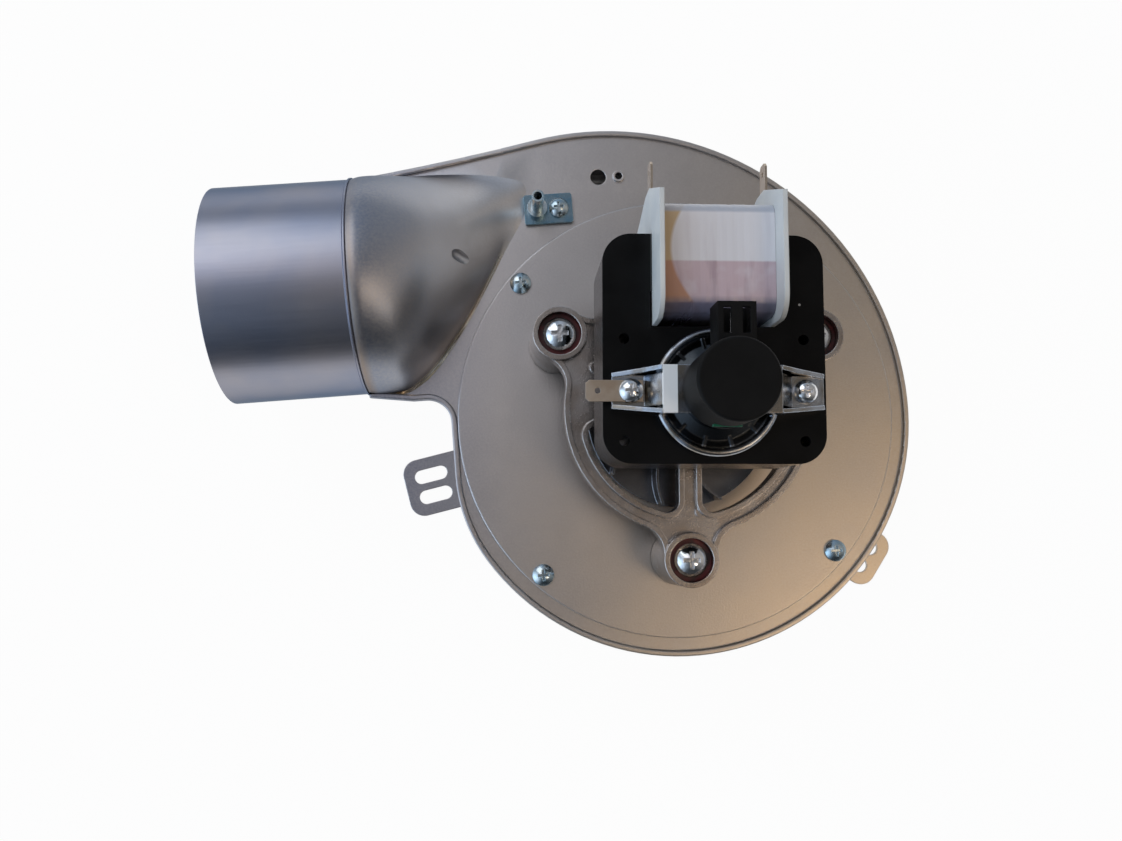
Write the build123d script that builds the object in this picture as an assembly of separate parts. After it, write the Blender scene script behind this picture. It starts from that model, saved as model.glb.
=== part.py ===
from build123d import *
from math import acos, asin, cos, degrees, radians, sin, sqrt
import os

# Flue gas fan: a pressed scroll casing with a round outlet spigot, and a shaded-pole motor on rubber mounts.
# Millimetres. The origin is on the motor axis in the rest plane at the back. +Z runs along the axis
# towards the motor and -X along the spigot.

os.makedirs("parts", exist_ok=True)

# Clearances
FIT = 0.05            # sliding fit of one piece in another
BEARING_GAP = 0.04    # radial running gap between the shaft and a bearing
AIR_GAP = 0.4         # radial gap between rotor and stator
PLATE_GAP = 0.2       # motor plate to the seam's bead, at the tongue
SERVICE_GAP = 2.5     # impeller's rim to the service opening
SHROUD_GAP = 1.2      # shroud ring over the inlet lip
COIL_SIDE_GAP = 0.5   # bobbin flange to the side of the stack's window
COIL_GAP = 0.2        # coil and flange to the foot of the stack's window
COIL_CLEAR = 1.6      # bobbin flange over the spider's boss tops
REACH = 300.0         # longer than the whole fan, for cutters and halves

# Casing
SHEET = 0.8           # sheet of both shells
SPIGOT_D = 80.0       # outside of the outlet spigot
SPIGOT_WALL = 0.8
SPIGOT_LENGTH = 50.1  # from the neck's end to the open end
SPIGOT_BEAD = 0.6     # height of the rolled stop bead
TUBE_Y = 57.6         # spigot axis, sideways from the motor axis
CASE_R = 88.8         # outside of the seam round the lower part of the scroll
SCROLL_SHIFT = 23.5   # the growing part is an arc whose centre moves this far towards the outlet
SCROLL_SWEEP = 101.0
TONGUE_STEP = 4.5     # tongue's straight edge inside the scroll's circle
TONGUE_BLEND = 60.0
NECK_LENGTH = 29.6    # from the tongue's edge to the neck's open end
NECK_ROUND = 3.5      # round lip of the neck, over the spigot's inner end
UNDER_DROP = 3.35     # seam edge below the neck where it meets the tongue
UNDER_BLEND = 9.0
UNDER_RUN = 13.5      # level run of that edge beside the tongue
NECK_LIP = 0.9        # seam left beyond the neck at its open end
FLANGE_W = 3.5
HEM_W = 2.1           # folded width of the seam
BEAD_H = 1.5          # height of the seam bead over the front sheet
BEAD_EDGE = 0.6
PAN_EDGE = 6.0        # radius round the back of the pan
PAN_CORNER = 18.0
INLET_D = 74.0
INLET_LIP = 5.0       # height of the inlet's turned-in lip

# Nose of the neck's bulge: places from the neck's end, then the crease, the crest and the crown there
NOSE_AT = (21.9, 35.9, 47.9, 56.9)
NOSE_CREASE = (0.086, 0.294, 0.526, 0.71)     # part of the neck's width that is flat again
NOSE_CREST = (0.2, 0.6, 1.0, 1.4)             # upper edge beyond the neck's, in millimetres
NOSE_CROWN = (0.878, 0.56, 0.23, 0.036)       # part of the neck's height that is left
NOSE_TAPER = 0.5      # inner skin's sections stand back by this many sheets more at each place
NOSE_STEPS = 5        # points on each side of a section's crown
TAIL_SLOPE = 0.35     # part of a section's upper side that runs out at a slope

# Mounting plate on the back
MOUNT_T = 1.5
MOUNT_RING_W = 15.0
MOUNT_HOLE_D = 92.0
TAB_ANGLES = (76.0, 190.0, 323.0)
TAB_REACH = 19.7      # tab ends beyond the scroll's circle
TAB_W = 23.4
TAB_CORNER = 6.0
SLOT_W = 5.6
SLOT_PITCH = 8.5
SLOT_EDGE = 4.3       # slot's outer end to the tab's end
SLOT_LENGTH = 13.6

# Motor plate, its seal and its screws
GASKET_T = 0.5
PLATE_T = 1.2
PLATE_HOLE_D = 14.0
PLATE_EDGE = 4.7      # screws inside the plate's edge
SERVICE_LAND = 4.8    # screws outside the service opening's edge
PLATE_SCREW_ANGLES = (45.0, 135.0, 225.0, 315.0)
SCREW_D = 4.0
SCREW_HEAD_D = 8.0
SCREW_HEAD_H = 2.6
HEAD_CROWN = 0.65     # domed part of a screw head's height
RECESS_W = 0.5        # cross recess as a part of the head's width
RECESS_H = 0.55       # and of its height
PLATE_SCREW_LENGTH = 7.0

# Pressure tap and the two open holes beside it
TAP_ANGLE = 116.84
TAP_OUT = 10.8        # middle of the tap beyond the motor plate's edge
TAP_LENGTH = 18.4
TAP_WIDTH = 11.4
TAP_T = 1.5
TAP_CORNER = 1.0
TAP_GASKET_T = 0.4
TAP_GASKET_INSET = 0.5
NOZZLE_OFFSET = -4.3
TAP_SCREW_OFFSET = 3.9
TAP_SCREW_HEAD_D = 7.5
NOZZLE_D = 4.5
NOZZLE_BORE_D = 3.0
NOZZLE_H = 18.0
NOZZLE_COLLAR_D = 7.6
NOZZLE_COLLAR_H = 3.0
PROBE_HOLE_D = 6.0
PROBE_ANGLE = 102.95
PROBE_OUT = 14.9      # beyond the motor plate's edge
VENT_HOLE_D = 2.8
VENT_ANGLE = 98.4
VENT_OUT = 13.2
VENT_COLLAR_H = 1.0

# Motor placing
MOTOR_TURN = -4.6     # the motor and its mount are turned a little about the axis
MOUNT_R = 52.3
BOSS_ANGLES = (30.0, 150.0, 270.0)
BOSS_TOP = 28.8       # spider boss tops over the motor plate

# Rubber mounts
POST_D = 8.0
GROMMET_D = 15.0
GROMMET_GROOVE = 1.9
GROMMET_LIP = 2.2
SLEEVE_WALL = 1.0
DOME_D = 11.6
DOME_H = 4.2
DOME_SCREW_GRIP = 9.6
BORE_SPARE = 1.0      # blind holes are deeper than their screws by this

# Spider bracket
RING_BITE = 0.7       # the ring reaches into the bosses by this
SPIDER_RIM = 6.6
HUB_R = 13.0
HUB_RISE = 6.4        # hub over the web
BOSS_WALL = 1.9
BOSS_DRAFT = 1.0
BOSS_BLEND = 10.0
BOSS_FLOOR = 4.0
BOSS_FLOOR_DEPTH = 5.6
BOSS_LIFT = 1.0       # gap between the legs and the motor plate
SPIDER_T = 3.5
RIB_W = 1.9
RIB_H = 8.0
RIB_DROP = 1.2        # rib crests below the boss tops
WEB_DROP = 3.4        # web face below the boss tops
SPOKE_W = 8.0
WINDOW_CORNER = 4.0
WINDOW_APEX_Y = 5.0   # the upper window is a wedge that starts here
WINDOW_SLOPE = 47.0
PILLAR_R = 5.0
PILLAR_BAND = 11.0    # clear band of web across the pillars
PIP_R = 2.0
PIP_H = 0.8
PIP_INSIDE = 16.5     # pips inside the bosses' circle
PIP_TURN = 6.0

# Stator
STACK_W = 68.4
STACK_T = 32.7
STACK_CORNER = 9.0
STACK_BOTTOM = -21.4
STACK_SCREW_X = 26.3
RIVET_D = 3.2
RIVET_X = 27.6
RIVET_Y = (-14.5, 16.7)
WINDOW_W = 38.8
BRIDGE_W = 5.4        # iron between the rotor's bore and the coil window
CORE_W = 17.9
ROTOR_R = 14.8
SHADE_WIRE = 1.0
SHADE_WALL = 0.8      # iron between the rotor's bore and a shading ring's hole
SHADE_ANGLES = (38.0, 66.0)
SHADE_OVERHANG = 1.6

# Coil
BOBBIN_WALL = 1.2
COIL_BUILD = 6.8
COIL_CORNER = 5.0
TAPE_T = 0.3
BOBBIN_FLANGE_T = 1.5
FLANGE_FRONT = 17.2   # bobbin flange over the stack's front face
FLANGE_MARGIN = 0.7   # flange beyond the tape at the back
FLANGE_TOP = 15.9     # flange's top beyond the stack's top
FLANGE_SHOULDER = 6.9
FLANGE_CREST = 6.0    # length of the raised middle of the flange
FLANGE_CORNER = 7.5
FLANGE_FOOT = 2.4     # flange's lower edge below the tape
TERMINAL_W = 6.3
TERMINAL_T = 0.8
TERMINAL_LENGTH = 15.0
TERMINAL_INSET = 6.0  # terminal's foot below the flange's top
TERMINAL_HOLE_D = 1.7
TERMINAL_HOLE_IN = 3.2
TERMINAL_TIP = 1.2
TERMINAL_RISE = 8.5   # terminals over the stack's middle

# Front bearing bracket
SHIELD_FOOT = 1.2
SHIELD_H = 12.1
SHIELD_WALL = 1.1
SHIELD_RIM_H = 4.9
SHIELD_EDGE = 1.2     # radius of the shield's rounded rim, and swell of its section
SHIELD_DIP = 0.5      # dish below the foot of the rounded rim
SHIELD_RIM_R = 8.3    # shield's edge beyond the bearing cup
SHIELD_DISH = 3.5     # lowest ring of the dish beyond the bearing cup
SHIELD_RIBS = 12
SHIELD_RIB_T = 1.0
BEARING_D = 19.0
BEARING_W = 6.0
BEARING_RACE = 2.2
BEARING_GROOVE = 0.4
BEARING_LIP = 1.0
CUP_WALL = 1.6
ARM_T = 5.0
ARM_END = 5.7         # arm's end beyond its screw
ARM_W = 9.4
ARM_NECK_W = 14.2
RAMP_FOOT = 4.1       # foot of the ramp inside the screw
RAMP_RUN = 4.6
STRAP_T = 2.0
ARM_RIB_T = 1.3
ARM_RIB_H = 4.0
ARM_RIB_END = 0.6
ARM_FLARE = 7.0       # side walls spread by this angle towards the shield

# Motor screws and earth tab
MOTOR_SCREW_HEAD_D = 7.2
MOTOR_SCREW_HEAD_H = 2.7
MOTOR_SCREW_GRIP = 9.0
HEAD_GAP = 0.2        # screw head in its seat, radially
EARTH_T = 0.8
EARTH_W = 6.4
EARTH_REACH = 13.5    # blade's end beyond the screw
EARTH_INNER = 3.6     # blade's inner end beyond the screw
EARTH_TIP = 1.0
EARTH_HOLE_D = 1.8
EARTH_HOLE_IN = 3.6

# Speed sensor
CAP_R = 11.8
CAP_H = 21.0
CAP_WALL = 1.4
CAP_EDGE = 1.0
BASE_T = 1.6
BASE_RING_H = 2.6
BASE_RING_T = 1.55
BOARD_T = 1.6
BOARD_HOLE_GAP = 1.5  # board's hole round the shaft
BOARD_TONGUE_W = 8.4
TONGUE_GAP = 0.1      # board's tongue in the cap's notch
TONGUE_SHORT = 0.2    # tongue's end inside the cap's outside
HALL_T = 1.6
HALL_W = 4.0
HALL_H = 3.0
HALL_GAP = 1.0        # magnet to hall sensor
CONNECTOR_X = 1.3
CONNECTOR_W = 11.0
CONNECTOR_REACH = 11.2  # housing's end beyond the cap
CONNECTOR_H = 11.0
CONNECTOR_WALL = 1.2
CONNECTOR_DEPTH = 9.0
CONNECTOR_DROP = 1.0  # housing's underside below the board
SLIT_W = 2.2
SLIT_SHORT = 1.6
SLIT_RISE = 6.0       # slits start this far over the board's underside
PIN_W = 0.64
PIN_PITCH = 2.7
PIN_SHORT = 2.0       # pins end inside the housing's mouth
PIN_ROOT = 3.0        # pins' length on the board
MAGNET_R = 6.5
MAGNET_H = 5.0
MAGNET_GAP = 0.5      # base round the magnet
MAGNET_LIFT = 1.4     # magnet over the sensor board

# Shaft, impeller and cooling fan
SHAFT_R = 3.0
IMPELLER_T = 0.8
IMPELLER_GAP = 6.4    # impeller back plate below the front shell
EYE_GAP = 1.7         # impeller's eye round the inlet lip
VANE_COUNT = 12
VANE_CURVE_R = 46.0
VANE_START = 1.5      # vanes' roots outside the eye
VANE_END = 1.0        # vanes' tips inside the rim
VANE_LEAN = 0.98      # 1 would set a vane's root square to its radius
HUB_OUT_R = 9.0
HUB_LENGTH = 12.0
NUT_AF = 10.0
NUT_T = 5.0
WASHER_R = 6.5
WASHER_T = 1.2
THREAD_SPARE = 2.0
COOLER_T = 0.8
COOLER_GAP = 4.0      # cooling fan over the motor plate
COOLER_TOP_GAP = 3.6  # cooling fan under the spider's ribs
COOLER_SIDE_GAP = 7.9  # cooling fan inside the spider's legs
COOLER_HUB_R = 7.0
COOLER_VANES = 10
COOLER_CURVE_R = 26.0
COOLER_ROOT_R = 12.0
END_RING_T = 3.0
END_RING_W = 5.0
END_RING_STEP = 1.4   # end ring inside the rotor's outside
END_RING_GAP = 0.6    # rotor end ring inside the stack's faces

# Places in the plan worked out from the sizes above
SCREW_HOLE_R = SCREW_D / 2 + FIT
NECK_BORE_R = SPIGOT_D / 2 + FIT
NECK_R = NECK_BORE_R + SHEET
TONGUE_X = -(CASE_R - TONGUE_STEP)
NECK_END_X = TONGUE_X - NECK_LENGTH
SPIGOT_END_X = NECK_END_X - SPIGOT_LENGTH
UNDER_Y = TUBE_Y - NECK_R - UNDER_DROP
PLATE_R = CASE_R - TONGUE_STEP - HEM_W - PLATE_GAP
PLATE_SCREW_R = PLATE_R - PLATE_EDGE
FRONT_HOLE_R = PLATE_SCREW_R - SERVICE_LAND
IMPELLER_R = FRONT_HOLE_R - SERVICE_GAP
IMPELLER_EYE_R = INLET_D / 2 + SHEET + EYE_GAP
TAB_END_R = CASE_R + TAB_REACH
BOSS_R = GROMMET_D / 2 + BOSS_WALL
GROMMET_NECK_R = GROMMET_D / 2 - GROMMET_GROOVE
SPIDER_RING_R = MOUNT_R - BOSS_R + RING_BITE
WINDOW_R = SPIDER_RING_R - SPIDER_RIM
COOLER_R = MOUNT_R - BOSS_R - BOSS_DRAFT - COOLER_SIDE_GAP
BORE_R = ROTOR_R + AIR_GAP
SHADE_R = BORE_R + SHADE_WALL + SHADE_WIRE
COIL_SIDE = BOBBIN_WALL + COIL_BUILD + TAPE_T
WINDOW_BOTTOM = BORE_R + BRIDGE_W
CORE_BOTTOM = WINDOW_BOTTOM + COIL_GAP + FLANGE_FOOT + COIL_SIDE
STACK_TOP = CORE_BOTTOM + CORE_W
CUP_R = BEARING_D / 2 + CUP_WALL
SHIELD_R = CUP_R + SHIELD_RIM_R
DISH_R = CUP_R + SHIELD_DISH
RAMP_FOOT_X = STACK_SCREW_X - RAMP_FOOT
RAMP_HEAD_X = RAMP_FOOT_X - RAMP_RUN
ARM_END_X = STACK_SCREW_X + ARM_END
CAP_BORE_R = CAP_R - CAP_WALL
CONNECTOR_END_Y = CAP_R + CONNECTOR_REACH
PIN_END_Y = CONNECTOR_END_Y - PIN_SHORT

# Heights worked out from the sizes above
SEAM_Z = MOUNT_T + NECK_R
FRONT_Z = SEAM_Z + SHEET
PLATE_TOP = FRONT_Z + GASKET_T + PLATE_T
BOSS_Z = PLATE_TOP + BOSS_TOP
STACK_BACK = BOSS_Z + COIL_CLEAR + COIL_SIDE + FLANGE_MARGIN
STACK_FRONT = STACK_BACK + STACK_T
STACK_MID = STACK_BACK + STACK_T / 2
WEB_TOP = BOSS_Z - WEB_DROP
WEB_Z = WEB_TOP - SPIDER_T
RIB_TOP = BOSS_Z - RIB_DROP
RIB_Z = RIB_TOP - RIB_H
FLOOR_TOP = BOSS_Z - BOSS_FLOOR_DEPTH
SHIELD_TOP = STACK_FRONT + SHIELD_H
ARM_TOP = STACK_FRONT + ARM_T
CUP_TOP = SHIELD_TOP - BEARING_LIP
BASE_TOP = SHIELD_TOP + BASE_T
BOARD_Z = BASE_TOP + BASE_RING_H
BOARD_TOP = BOARD_Z + BOARD_T
CAP_TOP = BASE_TOP + CAP_H
MAGNET_Z = BOARD_TOP + MAGNET_LIFT
SHAFT_TOP = MAGNET_Z + MAGNET_H
IMPELLER_TOP = SEAM_Z - IMPELLER_GAP
SHROUD_Z = MOUNT_T + SHEET + INLET_LIP + SHROUD_GAP
HUB_BOTTOM = IMPELLER_TOP - IMPELLER_T - HUB_LENGTH
NUT_Z = HUB_BOTTOM - WASHER_T - NUT_T
SHAFT_BOTTOM = NUT_Z - THREAD_SPARE
COOLER_Z = PLATE_TOP + COOLER_GAP
COOLER_H = RIB_Z - COOLER_TOP_GAP - COOLER_Z


def write(shape, name):
    """Write one sub-part as a STEP file named after its node."""
    export_step(shape, f"parts/{name}.step")


def write_motor(shape, name):
    """Write a sub-part of the motor group, turned with the motor about the axis."""
    write(group([Rot(0, 0, MOTOR_TURN) * solid for solid in shape.solids()]), name)


def group(shapes):
    """Return separate solids as one compound."""
    return Compound([solid for shape in shapes for solid in shape.solids()])


def polar(radius, angle, z=0.0):
    """Return a location at a radius and an angle in degrees."""
    return Pos(radius * cos(radians(angle)), radius * sin(radians(angle)), z)


def tube(outer_r, inner_r, z, height):
    """Return an upright tube standing on z."""
    ring = Circle(outer_r) - Circle(inner_r)
    return Pos(0, 0, z) * extrude(ring, height)


def disc(radius, z, height):
    """Return an upright cylinder standing on z."""
    return Pos(0, 0, z) * extrude(Circle(radius), height)


def box(x0, x1, y0, y1, z0, z1):
    """Return a block from its lower to its upper corner."""
    plan = Pos((x0 + x1) / 2, (y0 + y1) / 2) * Rectangle(x1 - x0, y1 - y0)
    return Pos(0, 0, z0) * extrude(plan, z1 - z0)


def slab(plan, z0, z1):
    """Return a plan drawn at the origin, made solid between two heights."""
    return Pos(0, 0, z0) * extrude(plan, z1 - z0)


def turned_profile(points):
    """Return the solid swept by a closed outline of (radius, height) points about the axis."""
    outline = Plane.XZ * make_face(Polyline(*points, close=True))
    return revolve(outline, Axis.Z)


def cross_recess(width, depth):
    """Return the cross-shaped cutter of a screw head, its mouth at z = 0."""
    arm = Pos(0, 0, -depth / 2) * Box(width, width / 4, depth)
    return arm + Rot(0, 0, 90) * arm


def dome_head_screw(head_d, head_h, shank_r, length):
    """Return a screw with a domed cross-recess head, its head's seat at z = 0."""
    crown = head_h * HEAD_CROWN
    ball_r = ((head_d / 2) ** 2 + crown ** 2) / (2 * crown)
    ball = Pos(0, 0, head_h - ball_r) * Sphere(ball_r)
    screw = disc(head_d / 2, 0, head_h) & ball
    screw += disc(shank_r, -length, length)
    return screw - Pos(0, 0, head_h) * cross_recess(head_d * RECESS_W, head_h * RECESS_H)


def casing_outline():
    """Return the plan of the seam: scroll, run to the neck, neck end and tongue."""
    tongue_y = -sqrt(CASE_R ** 2 - TONGUE_X ** 2)
    start = 180 + degrees(asin(-tongue_y / CASE_R))
    neck_top = (NECK_END_X, TUBE_Y + NECK_R + NECK_LIP)
    neck_bottom = (NECK_END_X, TUBE_Y - NECK_R - NECK_LIP)
    with BuildSketch() as plan:
        with BuildLine():
            CenterArc((0, 0), CASE_R, start, 360 - start)
            growth = CenterArc((-SCROLL_SHIFT, 0), CASE_R + SCROLL_SHIFT, 0, SCROLL_SWEEP)
            TangentArc(growth @ 1, neck_top, tangent=growth % 1)
            Polyline(neck_top, neck_bottom, (TONGUE_X - UNDER_RUN, UNDER_Y),
                     (TONGUE_X, UNDER_Y), (TONGUE_X, tongue_y))
        make_face()
    corners = plan.sketch.vertices()
    under = corners.sort_by_distance((TONGUE_X, UNDER_Y, 0))[0]
    rounded = fillet(under, UNDER_BLEND)
    tongue = rounded.vertices().sort_by_distance((TONGUE_X, tongue_y, 0))[0]
    return fillet(tongue, TONGUE_BLEND)


def body_plan(outline, inset):
    """Return the plan of the scroll chamber without the neck, inset from the seam's edge."""
    inner = offset(outline, amount=-inset)
    wall_x = TONGUE_X + inset
    right = Pos(wall_x + REACH / 2, 0) * Rectangle(REACH, REACH)
    chamber = inner & right
    corner = chamber.vertices().sort_by_distance((wall_x, REACH, 0))[0]
    return fillet(corner, PAN_CORNER)


def pan(outline, inset, floor_z, edge):
    """Return the chamber's volume from the floor to the seam, round at the back edge."""
    block = slab(body_plan(outline, inset), floor_z, SEAM_Z)
    return fillet(block.faces().sort_by(Axis.Z)[0].edges(), edge)


def neck_bar(radius):
    """Return a bar along the spigot's axis, from the neck's end into the chamber."""
    end_x = TONGUE_X + FLANGE_W + PAN_EDGE
    along = Plane(origin=(NECK_END_X, TUBE_Y, SEAM_Z), z_dir=(1, 0, 0))
    return extrude(along * Circle(radius), end_x - NECK_END_X)


def back_shell(outline):
    """Return the back shell: pan, lower half of the neck, flange and turned-in inlet lip."""
    below = box(-REACH, REACH, -REACH, REACH, 0, SEAM_Z)
    outside = pan(outline, FLANGE_W, MOUNT_T, PAN_EDGE) + (neck_bar(NECK_R) & below)
    inside = pan(outline, FLANGE_W + SHEET, MOUNT_T + SHEET, PAN_EDGE - SHEET) + neck_bar(NECK_BORE_R)
    flange = slab(offset(outline, amount=-(SHEET + FIT)), SEAM_Z - SHEET, SEAM_Z)
    lip = tube(INLET_D / 2 + SHEET, INLET_D / 2, MOUNT_T, SHEET + INLET_LIP)
    shell = outside + flange - inside
    return shell - disc(INLET_D / 2 + SHEET / 2, 0, SEAM_Z) + lip


def bulge_section(x, low_y, high_y, height):
    """Return a half-oval face across the neck at x, standing on the seam plane."""
    half_width = (high_y - low_y) / 2
    middle = (high_y + low_y) / 2
    face_plane = Plane(origin=(x, middle, SEAM_Z), x_dir=(0, 1, 0), z_dir=(1, 0, 0))
    with BuildSketch(face_plane) as section:
        with BuildLine():
            arc = EllipticalCenterArc((0, 0), half_width, height, start_angle=0, arc_size=180)
            Line(arc @ 1, arc @ 0)
        make_face()
    return section.sketch


def tail_height(part):
    """Return a nose section's height at a part of its upper side, from the crown at 0 to the edge at 1."""
    wave = cos(radians(90 * part))
    return TAIL_SLOPE * wave + (1 - TAIL_SLOPE) * wave ** 2


def tail_reach(level):
    """Return the part of the upper side at which a nose section has sunk to a level."""
    bend = 1 - TAIL_SLOPE
    wave = (sqrt(TAIL_SLOPE ** 2 + 4 * bend * level) - TAIL_SLOPE) / (2 * bend)
    return degrees(acos(wave)) / 90


def nose_section(x, low_y, high_y, height, shrink):
    """Return a face across the nose at x: steep at the low side, running out softly at the high side."""
    middle = (high_y + low_y) / 2
    low_side = middle - low_y - shrink
    high_side = (high_y - middle) * tail_reach(shrink / height)
    crown = height - shrink
    points = []
    for step in range(NOSE_STEPS):
        angle = radians(90 * step / NOSE_STEPS)
        points.append((-low_side * cos(angle), crown * sin(angle)))
    for step in range(NOSE_STEPS + 1):
        part = step / NOSE_STEPS
        points.append((high_side * part, crown * tail_height(part)))
    run_out = (high_side, -crown * TAIL_SLOPE * radians(90))
    face_plane = Plane(origin=(x, middle, SEAM_Z), x_dir=(0, 1, 0), z_dir=(1, 0, 0))
    with BuildSketch(face_plane) as section:
        with BuildLine():
            Spline(*points, tangents=((0, 1), run_out))
            Line(points[-1], points[0])
        make_face()
    return section.sketch


def neck_bulge(shrink):
    """Return the front half of the neck: a half-round that sinks into the flat front in a nose."""
    radius = NECK_R - shrink
    low = TUBE_Y - radius
    high = TUBE_Y + radius
    round_end = NECK_END_X + NECK_ROUND
    sections = [bulge_section(round_end, low, high, radius)]
    for count, at in enumerate(NOSE_AT):
        x = NECK_END_X + at - shrink * count * NOSE_TAPER
        crease = TUBE_Y - NECK_R + NOSE_CREASE[count] * 2 * NECK_R
        crest = TUBE_Y + NECK_R + NOSE_CREST[count]
        sections.append(nose_section(x, crease, crest, NOSE_CROWN[count] * NECK_R, shrink))
    nose = loft(sections)
    along = Plane(origin=(NECK_END_X, TUBE_Y, SEAM_Z), z_dir=(1, 0, 0))
    straight = extrude(along * Circle(radius), round_end - NECK_END_X)
    upper = box(-REACH, REACH, -REACH, REACH, SEAM_Z, REACH)
    return nose + (straight & upper)


def front_shell(outline, back_outside):
    """Return the front shell: flat sheet, neck bulge, service hole and hemmed seam bead."""
    hem_z = SEAM_Z - 2 * SHEET
    sheet = slab(outline, SEAM_Z, FRONT_Z)
    bead = slab(outline - offset(outline, amount=-HEM_W), FRONT_Z, FRONT_Z + BEAD_H)
    bead = fillet(bead.faces().sort_by(Axis.Z)[-1].edges(), BEAD_EDGE)
    wrap = slab(outline - offset(outline, amount=-SHEET), hem_z, SEAM_Z)
    fold = slab(outline - offset(outline, amount=-HEM_W), hem_z, SEAM_Z - SHEET)
    shell = sheet + bead + (wrap + fold - back_outside) + neck_bulge(0)
    shell -= neck_bulge(SHEET)
    shell -= neck_bar(NECK_BORE_R) & box(-REACH, NECK_END_X + NECK_ROUND, -REACH, REACH, 0, REACH)
    shell += polar(PLATE_R + VENT_OUT, VENT_ANGLE, FRONT_Z) * disc(VENT_HOLE_D / 2 + SHEET, 0, VENT_COLLAR_H)
    holes = Circle(FRONT_HOLE_R) + plate_pattern(SCREW_HOLE_R)
    holes += polar(PLATE_R + PROBE_OUT, PROBE_ANGLE) * Circle(PROBE_HOLE_D / 2)
    holes += polar(PLATE_R + VENT_OUT, VENT_ANGLE) * Circle(VENT_HOLE_D / 2)
    holes += tap_place() * Pos(NOZZLE_OFFSET, 0) * Circle(NOZZLE_BORE_D / 2)
    holes += tap_place() * Pos(TAP_SCREW_OFFSET, 0) * Circle(SCREW_HOLE_R)
    return shell - slab(holes, 0, REACH)


def outlet_spigot():
    """Return the rolled outlet tube with its stop bead against the neck's end."""
    radius = SPIGOT_D / 2
    start = SPIGOT_END_X
    end = NECK_END_X + NECK_ROUND - FIT
    inner = radius - SPIGOT_WALL
    profile = [(inner, 0), (radius, 0), (radius, end - start), (inner, end - start)]
    bead_at = NECK_END_X - FIT - start
    bead = [(radius - SPIGOT_WALL / 2, bead_at - 2 * SPIGOT_BEAD), (radius + SPIGOT_BEAD, bead_at - SPIGOT_BEAD),
            (radius + SPIGOT_BEAD, bead_at), (radius - SPIGOT_WALL / 2, bead_at)]
    upright = turned_profile(profile) + turned_profile(bead)
    return Pos(start, TUBE_Y, SEAM_Z) * Rot(0, 90, 0) * upright


def mounting_plate():
    """Return the back plate: a ring with three tabs, each with two slots along the tab."""
    plate = Circle(MOUNT_HOLE_D / 2 + MOUNT_RING_W)
    slots = Sketch()
    for angle in TAB_ANGLES:
        tab = Pos(TAB_END_R / 2, 0) * Rectangle(TAB_END_R, TAB_W)
        tab = fillet(tab.vertices().group_by(Axis.X)[-1], TAB_CORNER)
        plate += Rot(0, 0, angle) * tab
        for side in (-1, 1):
            middle = TAB_END_R - SLOT_EDGE - SLOT_LENGTH / 2
            slot = Pos(middle, side * SLOT_PITCH / 2) * SlotOverall(SLOT_LENGTH, SLOT_W)
            slots += Rot(0, 0, angle) * slot
    return slab(plate - Circle(MOUNT_HOLE_D / 2) - slots, 0, MOUNT_T)


def plate_pattern(radius):
    """Return the motor plate's screw clearance holes as one sketch."""
    return Sketch() + [polar(PLATE_SCREW_R, angle) * Circle(radius) for angle in PLATE_SCREW_ANGLES]


def motor_plate():
    """Return the round motor plate with screw, shaft and post holes."""
    plan = Circle(PLATE_R) - Circle(PLATE_HOLE_D / 2) - plate_pattern(SCREW_HOLE_R)
    return slab(plan, PLATE_TOP - PLATE_T, PLATE_TOP)


def plate_gasket():
    """Return the flat seal between the front shell and the motor plate."""
    plan = Circle(PLATE_R) - Circle(FRONT_HOLE_R) - plate_pattern(SCREW_HOLE_R)
    return slab(plan, FRONT_Z, FRONT_Z + GASKET_T)


def plate_screws():
    """Return the four screws that hold the motor plate."""
    screw = dome_head_screw(SCREW_HEAD_D, SCREW_HEAD_H, SCREW_D / 2, PLATE_SCREW_LENGTH)
    return [polar(PLATE_SCREW_R, angle, PLATE_TOP) * screw for angle in PLATE_SCREW_ANGLES]


def tap_place(z=0.0):
    """Return the middle of the pressure tap, level with the row's x axis."""
    angle = radians(TAP_ANGLE)
    return Pos((PLATE_R + TAP_OUT) * cos(angle), (PLATE_R + TAP_OUT) * sin(angle), z)


def tap_outline(inset):
    """Return the tap plate's plan about its own middle, smaller by an inset."""
    plate = Rectangle(TAP_LENGTH - 2 * inset, TAP_WIDTH - 2 * inset)
    holes = Pos(NOZZLE_OFFSET, 0) * Circle(NOZZLE_D / 2) + Pos(TAP_SCREW_OFFSET, 0) * Circle(SCREW_HOLE_R)
    return fillet(plate.vertices(), TAP_CORNER) - holes


def tap_nozzle():
    """Return the tap's nozzle with its collar on the tap plate."""
    foot = FRONT_Z + TAP_GASKET_T
    nozzle = disc(NOZZLE_D / 2, 0, NOZZLE_H) + disc(NOZZLE_COLLAR_D / 2, TAP_T, NOZZLE_COLLAR_H)
    nozzle -= disc(NOZZLE_BORE_D / 2, 0, NOZZLE_H)
    return tap_place(foot) * Pos(NOZZLE_OFFSET, 0) * nozzle


def boss_places(z=0.0):
    """Return the three rubber mounts' places."""
    return [polar(MOUNT_R, angle, z) for angle in BOSS_ANGLES]


def grommet():
    """Return one rubber grommet, a spool that grips the boss floor, standing on z = 0."""
    bore_r = SCREW_HOLE_R + SLEEVE_WALL
    spool = tube(GROMMET_D / 2, bore_r, 0, BOSS_FLOOR + 2 * GROMMET_LIP)
    return spool - tube(GROMMET_D, GROMMET_NECK_R, GROMMET_LIP, BOSS_FLOOR)


def spider_plan():
    """Return the spider's outer plan: ring and three boss lobes, blended."""
    lobes = Sketch() + [place * Circle(BOSS_R) for place in boss_places()]
    plan = Circle(SPIDER_RING_R) + lobes
    return fillet(plan.vertices(), BOSS_BLEND)


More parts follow.
